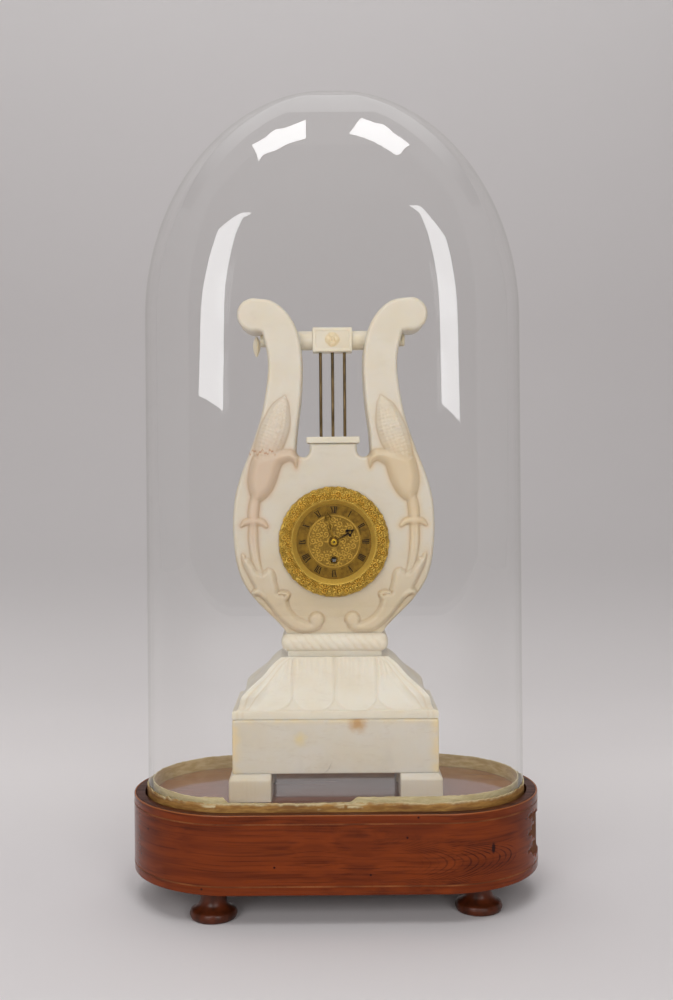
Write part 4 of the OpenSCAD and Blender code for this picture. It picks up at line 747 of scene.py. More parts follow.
def relief_slab(name, outline, holes, step, front, back, base=(0, 0)):
    """Slab with a carved front. A square net of points is laid over the outline, and the points next to
    an edge are drawn onto it. From places and depths front gives y and the marks, and back gives y."""
    start = outline.min(0) - step
    count = np.ceil((outline.max(0) - start) / step).astype(int) + 2
    steps = np.meshgrid(*(np.arange(n) for n in count), indexing="ij")
    net = np.stack(steps, -1).reshape(-1, 2) * step + start
    depth, foot = edge_depth(net, outline, holes)
    near = np.abs(depth) < 0.5 * step
    net, depth = np.where(near[:, None], foot, net), np.where(near, 0, depth)
    solid = depth >= 0
    number = np.arange(len(net)).reshape(count)
    corners = [number[:-1, :-1], number[1:, :-1], number[1:, 1:], number[:-1, 1:]]
    faces = np.stack(corners, -1).reshape(-1, 4)
    kept = solid[faces].sum(1)
    quads, cut = faces[kept == 4], faces[kept == 3]
    triangles = cut[solid[cut]].reshape(-1, 3)

    def on_stone(faces):
        """Faces with a corner off the edge, or with their middle well inside it."""
        inside_edge = edge_depth(net[faces].mean(1), outline, holes)[0] > 0.1 * step
        return faces[(depth[faces] > 0).any(1) | inside_edge]

    quads, triangles = on_stone(quads), on_stone(triangles)
    used, order = np.unique(np.concatenate([quads.ravel(), triangles.ravel()]), return_inverse=True)
    quads, triangles = order[:quads.size].reshape(-1, 4), order[quads.size:].reshape(-1, 3)
    net, depth = net[used], depth[used]
    sides = np.vstack([
        np.stack([f[:, k], f[:, (k + 1) % f.shape[1]]], 1)
        for f in (quads, triangles) for k in range(f.shape[1])
    ])
    _, first, times = np.unique(np.sort(sides, 1), axis=0, return_index=True, return_counts=True)
    rim = sides[first[times == 1]]
    n = len(net)
    face, marks = front(net, depth)
    points = np.vstack([np.column_stack([net[:, 0], y, net[:, 1]]) for y in (face, back(net, depth))])
    points = points + (base[0], 0, base[1])
    walls = np.stack([rim[:, 1], rim[:, 0], rim[:, 0] + n, rim[:, 1] + n], 1)
    quads = np.vstack([quads, quads[:, ::-1] + n, walls])
    triangles = np.vstack([triangles, triangles[:, ::-1] + n])
    values = {key: np.concatenate([mark, np.zeros(n)]) for key, mark in marks.items()}
    return to_mesh(name, points, quads, triangles, marks=values)


# Carving on the right half, x and level above the lyre's foot. Ridges also have half widths and heights.
COB = [
    (32, 157.6, 0.8, 0.4), (33.2, 153.6, 4.2, 1.9), (35.3, 148, 6.9, 2.9), (37.6, 139.5, 9.2, 3.6),
    (40.4, 131, 9.5, 3.8), (43.4, 123, 8.9, 3.6), (44.6, 117, 8.4, 3.2),
]
STEM = [(51.6, 91, 3.4, 2.2), (53.2, 82, 3.7, 2.3), (53.4, 74, 3.5, 2.3)]
GUARD = [
    (44.8, 71.4, 1.2, 1.0), (47.8, 74, 2.3, 1.8), (53.4, 75, 2.6, 2.7), (58.6, 74, 2.1, 1.8),
    (61.4, 71.8, 1, 1),
]
BLADE = [
    (53.6, 72, 3.1, 2.0), (53.7, 62, 3.2, 2.1), (52.2, 50, 2.9, 2.0), (49.8, 42, 1.9, 1.5),
    (47.9, 37, 0.8, 0.8),
]
OUTER_CURL = [
    (46.5, 25.1, 2.2, 3.2), (49.1, 27.3, 2.5, 3.9), (51.7, 27.9, 2.3, 4.0), (54.0, 26.6, 1.5, 3.2),
]
INNER_CURL = [
    (32.2, 23.6, 1.8, 3.2), (30.9, 25.9, 1.7, 3.6), (32.4, 27, 1.6, 3.7), (34.8, 27.4, 1.4, 3.5),
    (36.7, 26.8, 1.2, 3),
]
RIDGES = (COB, STEM, GUARD, BLADE, OUTER_CURL, INNER_CURL)
CUP_EDGE = np.array([
    (53.7, 117.8), (50.8, 118.7), (47.5, 120), (44.2, 120.9), (40.1, 122), (34.2, 122.4), (28, 122.1),
    (25.6, 120.4), (23.6, 118.4), (23.2, 115.6), (23.5, 112.7), (24.5, 109.6), (25.7, 111.8),
    (26.6, 113.4), (28.4, 114.4), (30.6, 114.2), (32.8, 113), (34.2, 111.8), (35.4, 109.6), (36.4, 106),
    (37.9, 101.6), (40.1, 96.5), (43.1, 92.1), (46.6, 89), (50.4, 87.2), (53.4, 88.7), (55.6, 92.8),
    (56.7, 97.9), (57, 103.1), (55.9, 109.7), (54.8, 114.1),
])
LEAF_EDGE = np.array([
    (61.3, 53.5), (61.8, 50.9), (60.7, 46.1), (59, 42), (56.8, 37.6), (54.8, 33.4), (53.3, 30.6),
    (54.3, 28.6), (54.5, 26.3), (52.5, 25.1), (50, 24.7), (47.6, 22.8), (44.7, 19.5), (41.8, 15.9),
    (38.8, 11.8), (34.8, 7.8), (29.6, 3.4), (23.7, 0.8), (17.8, 0.4), (12.7, 1.4), (9.2, 3.3), (8.7, 6),
    (12.3, 10.4), (16.9, 7.8), (20.4, 9.2), (24.1, 11.1), (27.2, 14.2), (29.2, 17.2), (30.3, 20.7),
    (30.4, 23.6), (29.4, 25.9), (30, 27.4), (32.6, 27.3), (33.8, 28.1), (36, 27.8), (37.1, 27.6),
    (36.7, 28.8), (37.3, 31.4), (38.1, 34.3), (38.5, 37.6), (39.5, 40.6), (41, 42.5), (42.9, 43.2),
    (44.5, 43.5), (45.6, 42.3), (47, 42), (48.1, 40.6), (49.7, 41.4), (50.9, 42.2), (52.2, 44.6),
    (53.3, 46.2), (54.4, 47.5), (55.4, 48.1), (56.5, 50.1), (58.5, 50.4), (59, 52.3), (60.4, 52.9),
])
BOSSES = ((CUP_EDGE, 4.2, 6.5), (LEAF_EDGE, 3.0, 3.6))
VOLUTE = (11.9, 9.3, 5.1, 3.4)
KERNEL, KERNEL_DEPTH, COB_HALF = 2.4, 0.34, 8


def ridge(points, stations):
    """Height of one carved ridge: nearest place on its curve, then a rounded section that falls to the
    ground at its half width. Also the place across it from 0 to 1 and the distance along it in mm."""
    curve = spline(stations, 6)
    gap, along, foot = nearest_on(points, curve[:, :2])
    width, height = (np.interp(along, np.arange(len(curve)), curve[:, k]) for k in (2, 3))
    length = np.concatenate([[0], np.cumsum(np.linalg.norm(np.diff(curve[:, :2], axis=0), axis=1))])
    across = gap / width
    walked = np.interp(along, np.arange(len(curve)), length)
    return height * np.clip(1 - across ** 2.6, 0, 1) ** 0.9, across, walked, gap - width


def boss(points, edge, height, bevel):
    """Height of a carved shape inside a traced edge: it rises from the ground as a parabola over the
    bevel and is level further in. Also how far outside the edge each point lies."""
    depth, _ = edge_depth(points, spline(np.vstack([edge, edge[:1]]), 4)[:-1], [])
    rise = np.clip(depth / bevel, 0, 1)
    return height * rise * (2 - rise), -depth


def carving(points):
    """Height of the whole relief, the mark of its carved ground, and the dirt and painted shade along its
    edges.
    """
    p = np.abs(points * (1, 0)) + points * (0, 1)
    shapes = []
    for stations in RIDGES:
        height, across, along, beyond = ridge(p, stations)
        if stations is COB:
            middle = np.interp(-p[:, 1], [-s[1] for s in COB], [s[0] for s in COB])
            side = across * np.sign(p[:, 0] - middle) * COB_HALF
            a, b = along / KERNEL, side / KERNEL
            kernel = np.cos(math.pi * (a + b)) * np.cos(math.pi * (a - b))
            height = height + KERNEL_DEPTH * kernel * step_up(-across, -1, -0.75)
        if stations is BLADE:
            height = height * (1 - 0.22 * np.exp(-(across / 0.32) ** 2))
        shapes.append((height, beyond))
    shapes += [boss(p, *shape) for shape in BOSSES]
    x, z, r, h = VOLUTE
    far = np.linalg.norm(p - (x, z), axis=1)
    shapes.append((h * np.clip(1 - (far / r) ** 4, 0, 1) ** 0.7, far - r))
    heights, beyond = (np.array(part) for part in zip(*shapes))
    total = (heights ** 6).sum(0) ** (1 / 6)
    edges = np.exp(-((beyond - 0.1) / 0.7) ** 2).max(0)
    return total, step_up(-beyond, -4, 1).max(0), edges * (1 - 0.6 * step_up(total, 0.6, 2))


def rounding(depth, radius):
    """How far a surface falls back within radius of its edge, as a quarter circle."""
    short = np.clip(radius - depth, 0, radius)
    return radius - np.sqrt(radius ** 2 - short ** 2)


def lyre_repair(points):
    """Old repair on the left horn's rim: a jagged brown line that follows it."""
    x = -points[:, 0]
    line = 120.6 + 1.3 * np.sin(x * 1.1) + 0.8 * np.sin(x * 2.7 + 1)
    inside_span = step_up(x, 36, 39) * step_up(-x, -60, -57)
    return np.exp(-((points[:, 1] - line) / 0.75) ** 2) * inside_span


def lyre_front(points, depth):
    """Front of the lyre: hand-dressed flat ground with soft arrises, and the relief on it."""
    dressed = 0.12 * np.sin(points[:, 0] / 9 + 1) * np.sin(points[:, 1] / 13)
    bore = np.linalg.norm(points - (0, DIAL_LEVEL - LYRE_BOTTOM), axis=1) - BORE
    arris = np.where(bore < ARRIS, 0, rounding(depth, ARRIS)) * step_up(points[:, 1], 0, 6)
    relief, carved, crease = carving(points)
    y = LYRE_FRONT + arris - relief * step_up(depth, 0, 2.2) + dressed * step_up(depth, 0, 4)
    return y, {"carved": carved, "crease": crease, "repair": lyre_repair(points)}


lyre = relief_slab(
    "lyre_carved", lyre_outline, [(0, DIAL_HEIGHT, BORE)], LYRE_STEP,
    lyre_front, lambda points, depth: LYRE_BACK - rounding(depth, ARRIS), (0, LYRE_BOTTOM),
)


def lyre_levels(*heights):
    """Heights over the lyre's foot in mm, as levels in metres."""
    return [(LYRE_BOTTOM + height) * MM for height in heights]


# The stone is painted darker and warmer towards its foot as painted shade. Old wax has tinted the carving,
# dirt and painted shade darken its creases, and the repair on the left horn shows as a brown line.
lyre_stone, tree, shader, colour, place = alabaster(
    "alabaster_lyre_carved", "E0D7C7", "DED3BE", "D2C6B2", 0.25,
)
x, y, z = add(tree, "SeparateXYZ", (place,)).outputs
carved = add(tree, "Attribute", attribute_name="carved").outputs["Fac"]
crease = add(tree, "Attribute", attribute_name="crease").outputs["Fac"]
repair = add(tree, "Attribute", attribute_name="repair").outputs["Fac"]
# Painted shade: the stone is multiplied darker and warmer towards the lyre's foot, and left white at its
# top.
shade = tinted(tree, linear("EEE5D3"), linear("F8F8F8"), z, *lyre_levels(10, 75))
shade = tinted(tree, shade, linear("FFFFFF"), z, *lyre_levels(110, 165))
colour = add(tree, "Mix", {0: 1.0, 6: colour, 7: shade}, **COLOURS, blend_type="MULTIPLY").outputs[2]
tint = tinted(tree, linear("D4BAA0"), linear("DAC39E"), x, -30 * MM, 30 * MM)
upper = add(tree, "MapRange", (z, *lyre_levels(40, 75), 0.1, 0.8), **SMOOTH).outputs[0]
cob = add(tree, "MapRange", (z, *lyre_levels(112, 140), 1, 0.3), **SMOOTH).outputs[0]
share = add(tree, "Math", (carved, upper), operation="MULTIPLY").outputs[0]
share = add(tree, "Math", (share, cob), operation="MULTIPLY").outputs[0]
colour = add(tree, "Mix", {0: share, 6: colour, 7: tint}, **COLOURS).outputs[2]
# Dirt and painted shade darken the creases along the foot of the carving.
colour = tinted(tree, colour, linear("BE9E74"), crease, 0.1, 1, 0, 0.35)
colour = tinted(tree, colour, linear("B47A50"), repair, 0.2, 1, 0, 0.75)
tree.links.new(colour, shader.inputs["Base Color"])
fit(lyre, "stand", "alabaster", lyre_stone, "lyre_body")

# Lip on the lyre's tongue: a thin slab of alabaster with rubbed edges that the strings stand in. It has
# the even, pale look of the turned pieces of the yoke, with few veins.
yoke_stone, tree, shader, colour, place = alabaster(
    "alabaster_yoke_turned", "E0D7C5", "DCD0B6", "D0C1A6", 0.2,
)
tree.links.new(colour, shader.inputs["Base Color"])
low, high = limits("string_lip")
shape = dense(rounded([(0.8, low[2]), (0, low[2]), (0, high[2]), (0.8, high[2])], 0.7), 2)
lip = skin("string_lip_stone", block(shape, high[0], high[1], 1.0))
fit(lip, "stand", "alabaster", yoke_stone, "string_lip")

# The yoke: a turned alabaster bar let into both arms, a block on its middle with a rosette in a sunk
# panel, a hanging leaf bud on its left end and a ring on its right end.
low, high = limits("yoke_bar")
YOKE_LEVEL, YOKE_RADIUS = (low[2] + high[2]) / 2, (high[2] - low[2]) / 2
YOKE_END, YOKE_HALF, PIN_RADIUS = high[0], 40.0, 2.4
half_bar = [(PIN_RADIUS, YOKE_END), (PIN_RADIUS, YOKE_HALF), (YOKE_RADIUS, YOKE_HALF), (YOKE_RADIUS, 0)]
bar = rounded([(r, -x) for r, x in half_bar] + [(r, x) for r, x in half_bar[2::-1]], 0.5)
yoke = skin("yoke_bar_turned", turned(bar, (0, 0, YOKE_LEVEL), axis=0))
fit(yoke, "stand", "alabaster", yoke_stone, "yoke_bar")

low, high = limits("yoke_block")
BLOCK_HALF = np.array([high[0], high[2] - YOKE_LEVEL])
PANEL_BORDER, PANEL_DEPTH, ROSETTE, BLOCK_EDGE = 1.8, 0.35, 5.0, 0.7
block_outline = box_ring([BLOCK_HALF[0]], [BLOCK_HALF[1]], [0.8], 5)[0]
BLOCK_FRONT, BLOCK_BACK = low[1] + 0.6, high[1]


def block_front(points, depth):
    """Panel sunk a little inside a plain border, and on it a rosette: four broad petals round a button."""
    far = np.linalg.norm(points, axis=1)
    turn = np.arctan2(points[:, 1], points[:, 0])
    reach = ROSETTE * (0.78 + 0.22 * np.abs(np.cos(2 * turn)))
    petal = (0.6 + 0.4 * np.abs(np.cos(2 * turn))) * np.clip(1 - (far / reach) ** 3, 0, 1)
    button = np.clip(1 - (far / 1.4) ** 2, 0, 1)
    flower = 1.2 * petal * step_up(far, 0.8, 2) + 1.1 * button
    panel = PANEL_DEPTH * step_up(depth, PANEL_BORDER, PANEL_BORDER + 0.5)
    warm = step_up(-far, -ROSETTE - 0.4, -ROSETTE + 0.6)
    return BLOCK_FRONT + rounding(depth, BLOCK_EDGE) + panel - flower, {"warm": warm}


rosette_block = relief_slab(
    "yoke_block_carved", block_outline, [], 0.28, block_front,
    lambda points, depth: BLOCK_BACK - rounding(depth, BLOCK_EDGE), (0, YOKE_LEVEL),
)
# The rosette is stained a warmer yellow than the block round it.
rosette_stone, tree, shader, colour, place = alabaster(
    "alabaster_rosette_carved", "E4DBC9", "E0D4BC", "D5C6AA", 0.2,
)
warm = add(tree, "Attribute", attribute_name="warm").outputs["Fac"]
colour = tinted(tree, colour, linear("E2CCA0"), warm, 0, 1, 0, 0.7)
tree.links.new(colour, shader.inputs["Base Color"])
fit(rosette_block, "stand", "alabaster", rosette_stone, "yoke_block")

low, high = limits("yoke_collar")
RING_RADIUS = (high[2] - low[2]) / 2
band = rounded([
    (PIN_RADIUS, low[0]), (RING_RADIUS, low[0]), (RING_RADIUS, high[0]), (PIN_RADIUS, high[0]),
], 1.2)
collar = skin("yoke_collar_turned", turned(band, (0, 0, YOKE_LEVEL), axis=0), caps=False)
fit(collar, "stand", "alabaster", yoke_stone, "yoke_collar")

low, high = limits("yoke_knob")
BUD_RADIUS, BUD_STEPS, BUD_SHARE = 2.7, 48, 0.92
BUD_MIDDLE = (low[0] + BUD_RADIUS, 0)
bud_ring = skin("yoke_bud_ring", turned(band * (1, -1), (0, 0, YOKE_LEVEL), axis=0), caps=False)
fit(bud_ring, "stand", "alabaster", yoke_stone, "yoke_knob")
petals = spline([
    (0.5, low[2]), (1.9, low[2] + 3), (BUD_RADIUS, low[2] + 6.8), (2.1, low[2] + 10.6),
    (0.5, high[2] - 1.2),
], 8)
bud_grid = turned(petals, (*BUD_MIDDLE, 0), steps=BUD_STEPS)
fluted = 1 + 0.1 * np.cos(5 * np.linspace(0, ROUND, BUD_STEPS, endpoint=False))[None, :, None]
bud_grid[..., :2] = (bud_grid[..., :2] - BUD_MIDDLE) * fluted * BUD_SHARE + BUD_MIDDLE
bud = skin("yoke_bud_carved", bud_grid)
fit(bud, "stand", "alabaster", yoke_stone)

# Three strings: brass rods gone brown, held between the lip and the yoke. Fine filed rings make them look
# like spun strings and break their shine into short glints.
STRING_RINGS, WAVE_SCALE = 1.1, 0.314
dark_brass, tree, shader = new_material("brass_rod_tarnished", metallic=0.85, roughness=0.42)
place = add(tree, "TexCoord").outputs["Object"]
rings = add(tree, "TexWave", {
    "Vector": place, "Scale": WAVE_SCALE / (STRING_RINGS * MM),
}, wave_type="BANDS", bands_direction="Z")
stain = blotches(tree, place, (1.4, 1.4, 9))
colour = tinted(tree, linear("8C7650"), linear("53432A"), stain, 0.3, 0.7)
tree.links.new(colour, shader.inputs["Base Color"])
grain(tree, shader, rings.outputs[1], 0.5, 0.12)
for k in range(1, 4):
    low, high = limits(f"string_{k}")
    rod = rounded([(0.3, low[2]), (high[1], low[2]), (high[1], high[2]), (0.3, high[2])], 0.2)
    wire = skin(f"lyre_string_{k}", turned(rod, ((low[0] + high[0]) / 2, 0, 0), steps=24))
    fit(wire, "stand", "dark_brass", dark_brass, f"string_{k}")

# The movement between two round plates: brass wheels and pillars, steel arbors, barrel and anchor. The
# plates and wheels are turned and grained in circles, so they shine in soft rings.
TURNING_RINGS = 0.5
brass, tree, shader = new_material("brass_turned_grained", metallic=1.0, roughness=0.3)
place = add(tree, "TexCoord").outputs["Object"]
centred = add(tree, "Mapping", {"Vector": place, "Location": (0, 0, -DIAL_LEVEL * MM)})
turning = add(tree, "TexWave", {
    "Vector": centred.outputs[0], "Scale": WAVE_SCALE / (TURNING_RINGS * MM), "Distortion": 0.6,
}, wave_type="RINGS", rings_direction="Y")
stain = blotches(tree, place, (7, 7, 7))
colour = tinted(tree, linear("D2AE62"), linear("A47E38"), stain, 0.35, 0.75)
tree.links.new(colour, shader.inputs["Base Color"])
polish(tree, shader, stain, 0.3, 0.8, 0.22, 0.42)
grain(tree, shader, turning.outputs[1], 0.12, 0.05)

# Polished steel: a grey mirror under a light haze, with fine scratches along it.
steel, tree, shader = new_material("carbon_steel_polished", metallic=1.0, roughness=0.25)
place = add(tree, "TexCoord").outputs["Object"]
haze = blotches(tree, place, (3, 3, 3))
scratch = blotches(tree, place, (0.3, 0.3, 4))
colour = tinted(tree, linear("A7A6A2"), linear("807E7A"), haze, 0.3, 0.7)
tree.links.new(colour, shader.inputs["Base Color"])
polish(tree, shader, scratch, 0.3, 0.7, 0.18, 0.36)

# Steel blued by heat and oiled since: near black with brown clouds, and a soft shine.
blued, tree, shader = new_material("spring_steel_blued", metallic=1.0, roughness=0.28)
place = add(tree, "TexCoord").outputs["Object"]
haze = blotches(tree, place, (4, 4, 4))
colour = tinted(tree, linear("2B2622"), linear("463A2C"), haze, 0.3, 0.7)
tree.links.new(colour, shader.inputs["Base Color"])

BRASS_NODES = [
    "minute_wheel", "hour_wheel", "front_plate", "back_plate", "barrel_drum", "barrel_cover",
    "centre_wheel", "third_wheel", "fourth_wheel", "escape_wheel", "back_cock", "pendulum_bob",
    "strap_1", "strap_2", "pillar_1", "pillar_2", "pillar_3", "pillar_4",
]
STEEL_NODES = [
    "cannon_pinion", "barrel_arbor", "ratchet_wheel", "click", "pallets", "crutch", "pendulum_rod",
]
for metal, names in ((brass, BRASS_NODES), (steel, STEEL_NODES), (blued, ["mainspring"])):
    for name in names:
        coat(nodes[name], metal)

# Hands: the hour hand of steel, blued at its trefoil and rubbed to a dull brown on its boss and stalk, and
# the minute hand a thin pointer of brass that has lost most of its gilding.
hand_steel, tree, shader = new_material("steel_hand_blued_worn", metallic=0.8, roughness=0.4)
place = add(tree, "TexCoord").outputs["Object"]
arbor = (0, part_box("hour_hand")[0].y, DIAL_LEVEL * MM)
reach = add(tree, "VectorMath", (place, arbor), operation="DISTANCE").outputs["Value"]
haze = blotches(tree, place, (2, 2, 2))
dark = tinted(tree, linear("1E1710"), linear("33261A"), haze, 0.3, 0.7)
colour = tinted(tree, linear("6E5420"), dark, reach, 4 * MM, 9 * MM)
tree.links.new(colour, shader.inputs["Base Color"])
hand_brass, tree, shader = new_material("brass_hand_rubbed", metallic=0.9, roughness=0.45)
place = add(tree, "TexCoord").outputs["Object"]
rub = blotches(tree, place, (1.5, 1.5, 4))
colour = tinted(tree, linear("96742C"), linear("5C4416"), rub, 0.35, 0.65)
tree.links.new(colour, shader.inputs["Base Color"])
for name, metal in (("hour_hand", hand_steel), ("minute_hand", hand_brass)):
    coat(nodes[name], metal)

# Dial plate and rear ring, the movement's seat in the lyre, and the collet of the hands: turned brass, fire
# gilt. The gilding is matt and deep yellow, with browner stains.
gilt, tree, shader = new_material("brass_fire_gilt_matt", metallic=1.0, roughness=0.38)
place = add(tree, "TexCoord").outputs["Object"]
stain = blotches(tree, place, (6, 6, 6), 4)
fine = blotches(tree, place, (0.5, 0.5, 0.5))
colour = tinted(tree, linear("DDB440"), linear("A88420"), stain, 0.35, 0.75)
tree.links.new(colour, shader.inputs["Base Color"])
polish(tree, shader, stain, 0.3, 0.8, 0.3, 0.5)
grain(tree, shader, fine, 0.15, 0.05)
for name in ("dial_plate", "rear_ring", "hand_collet"):
    coat(nodes[name], gilt)

# Engraved centre of the dial: scrolling stems cut by hand into the brass plate, round the hand arbor and
# the winding hole, and gilt over. The cut ground is browner than the leaves that stand out of it.
low, high = limits("dial_plate")
DIAL_FRONT, DIAL_CENTRE = low[1], 18.0
WINDING, WINDING_HOLE, PIPE_HOLE = (0, -12.3), 2.5, 2.6
CENTRE_STEP, CUT = 0.2, 0.26
OUTER_RING, INNER_RING, CURLS_END = 17, 4, 16.2
CURLS, CURL_SIZE, LEAF_LOBES = 24, 2.5, 9
GOLDEN_ANGLE = math.pi * (3 - math.sqrt(5))


def curl(u, w, size, pitch, hand, lobes):
    """Height from 0 to 1 of one scroll round its own middle: a spiral line that fades out at its size,
    in a fan of leaf lobes on one side of it."""
    far, turn = np.hypot(u, w), np.arctan2(w, u)
    spiral = (0.5 + 0.5 * np.cos(ROUND * far / pitch - hand * turn)) * step_up(-far, -size, 0.5 - size)
    leaf = 0.5 + 0.5 * np.cos(lobes * turn)
    fan = leaf * step_up(far, size - 0.5, size) * step_up(-far, -1.75 * size, -1.3 * size)
    return np.maximum(spiral, fan * (0.6 + 0.4 * np.cos(turn - lobes)))


def engraved(points, depth):
    """Front of the dial's centre: leafy scrolls set round it at the golden angle, a four-rayed star over
    them and two plain rings, all standing out of a cut ground."""
    far = np.linalg.norm(points, axis=1)
    height = 0.2 + 0.2 * np.cos(ROUND * far / 1.3) * np.cos(22 * np.arctan2(points[:, 1], points[:, 0]))
    for k in range(CURLS):
        reach, turn = 4.4 + 11.4 * math.sqrt((k + 0.5) / CURLS), k * GOLDEN_ANGLE
        u, w = points[:, 0] - reach * math.cos(turn), points[:, 1] - reach * math.sin(turn)
        height = np.maximum(height, curl(u, w, CURL_SIZE, 1.6, 1 - 2 * (k % 2), LEAF_LOBES))
    star = np.exp(-(np.abs(points).min(1) / 0.5) ** 2) * (1 - step_up(far, 5, 8))
    rings = 0.5 * np.exp(-((far - OUTER_RING) / 0.3) ** 2) + 0.6 * np.exp(-((far - INNER_RING) / 0.4) ** 2)
    height = np.clip(np.maximum(np.where(far < CURLS_END, height, 0.3), star) + rings, 0, 1)
    return DIAL_FRONT - 0.05 - CUT * height * step_up(depth, 0, 0.5), {"raised": height}


centre = relief_slab(
    "dial_centre_engraved", arc((0, 0), DIAL_CENTRE - 0.05, 0, 360, 181)[:-1],
    [(0, 0, PIPE_HOLE), (*WINDING, WINDING_HOLE)], CENTRE_STEP,
    engraved, lambda points, depth: DIAL_FRONT + 0.05 + 0 * depth, (0, DIAL_LEVEL),
)
engraving, tree, shader = new_material("brass_engraved_gilt", metallic=0.7, roughness=0.42)
place = add(tree, "TexCoord").outputs["Object"]
raised = add(tree, "Attribute", attribute_name="raised").outputs["Fac"]
stain = blotches(tree, place, (5, 5, 5))
colour = tinted(tree, linear("7E6020"), linear("B48E36"), raised, 0.1, 0.9)
colour = tinted(tree, colour, linear("8A6818"), stain, 0.5, 0.8, 0, 0.4)
tree.links.new(colour, shader.inputs["Base Color"])
fit(centre, "stand", "ormolu", engraving)

# Chapter ring: a flat ring of brass on the dial plate, with Roman hours cut in and filled with black wax.
# Its gilding has gone dull and brown, so it lies darker than the bezel round it.
low, high = limits("chapter_ring")
CHAPTER_FRONT = low[1]
dull_gilt, tree, shader = new_material("brass_chapter_dull_gilt", metallic=0.6, roughness=0.45)
place = add(tree, "TexCoord").outputs["Object"]
stain = blotches(tree, place, (4, 4, 4), 4)
colour = tinted(tree, linear("8A6818"), linear("624709"), stain, 0.3, 0.75)
tree.links.new(colour, shader.inputs["Base Color"])
polish(tree, shader, stain, 0.3, 0.7, 0.4, 0.58)
coat(nodes["chapter_ring"], dull_gilt)

NUMERALS = ["XII", "I", "II", "III", "IIII", "V", "VI", "VII", "VIII", "IX", "X", "XI"]
NUMERAL_FOOT, NUMERAL_TOP = 18.9, 23.5
HEAVY, FINE, WAX = 0.7, 0.26, 0.06
GLYPHS = {
    "I": (1.15, [(0, 0, HEAVY)]),
    "V": (2.2, [(-0.75, 0, HEAVY), (0.75, 0, FINE)]),
    "X": (2.3, [(-0.8, 0.8, HEAVY), (0.8, -0.8, FINE)]),
}


def numeral_strokes(word, hour):
    """Strokes of one hour, read from the middle: top and foot place across, width, hour, ends."""
    total = sum(GLYPHS[letter][0] for letter in word)
    start = -total / 2
    strokes = []
    for letter in word:
        advance, lines = GLYPHS[letter]
        middle = start + advance / 2
        strokes += [(middle + top, middle + foot, width, hour, 0, 1) for top, foot, width in lines]
        start += advance
    strokes += [(0, 0, total - 0.25, hour, end, end + 0.055) for end in (0, 0.945)]
    return strokes


strokes = np.array([stroke for hour, word in enumerate(NUMERALS) for stroke in numeral_strokes(word, hour)])
top, foot, width, hour, begin, end = strokes.T
rows = np.array([0, 0, 1, 1])
share = begin[:, None] + (end - begin)[:, None] * rows
across = foot[:, None] + (top - foot)[:, None] * share + np.array([-0.5, 0.5, 0.5, -0.5]) * width[:, None]
far = NUMERAL_FOOT + (NUMERAL_TOP - NUMERAL_FOOT) * share
turn = math.pi / 2 - ROUND * hour[:, None] / 12 - across / NUMERAL_TOP
corners = np.stack([far * np.cos(turn), np.zeros_like(far), DIAL_LEVEL + far * np.sin(turn)], -1)
points = np.concatenate([corners + (0, CHAPTER_FRONT - WAX, 0), corners + (0, CHAPTER_FRONT + WAX, 0)], 1)
base = 8 * np.arange(len(strokes))[:, None, None]
prism = np.array([[0, 1, 2, 3], [7, 6, 5, 4], [0, 4, 5, 1], [1, 5, 6, 2], [2, 6, 7, 3], [3, 7, 4, 0]])
numerals = to_mesh("hour_numerals", points.reshape(-1, 3), (prism + base).reshape(-1, 4))
# Old wax: brown black and matt, so the hours stay dark in any light.
wax, tree, shader = new_material("shellac_wax_black", roughness=0.6, specular_ior_level=0.2)
place = add(tree, "TexCoord").outputs["Object"]
wear_and_highlight = blotches(tree, place, (1.5, 1.5, 1.5))
colour = tinted(tree, linear("120B04"), linear("221608"), wear_and_highlight, 0.4, 0.75)
tree.links.new(colour, shader.inputs["Base Color"])
fit(numerals, "stand", "chapter", wax)

# Bezel: sheet brass pressed with scrolling leaves in high relief, gilt, with a plain hollow
# that falls to the dial. Its outer edge follows the ornament in shallow scallops.
low, high = limits("bezel")
BEZEL_RADIUS, BEZEL_BACK = high[0], high[1]
BEZEL_EDGE, BEZEL_INNER, CREST_FOOT = 36.9, 24.95, (29.2, 6.1)
BEZEL_COLUMNS = 1080
BAND_AT, LARGE_CURLS, SMALL_CURLS = 32.6, 25, 50
BAND_BEGINS, BAND_ENDS, SMALL_AT = (27.6, 28.6), (36.4, 36.85), (30.0, 35.0)
ORNAMENT = 1.5
edge_profile = spline([
    (BEZEL_EDGE, 0), (BEZEL_EDGE, 1.0), (36.3, 2.6), (34.6, 4.3), (32.2, 5.3), (30.2, 5.8), CREST_FOOT,
], 8)
crest = spline([
    CREST_FOOT, (28.7, 6.9), (28.2, 7.15), (27.6, 6.7), (26.6, 4.9), (25.6, 2.8), (BEZEL_INNER, 1.6),
], 7)
section = np.vstack([edge_profile[:-1], crest, [(BEZEL_INNER, 0.6), (26.2, 0.0)]])
turn = np.linspace(0, ROUND, BEZEL_COLUMNS, endpoint=False)[None, :]
far, height = section[:, :1] * BEZEL_RADIUS / BEZEL_EDGE, section[:, 1:]


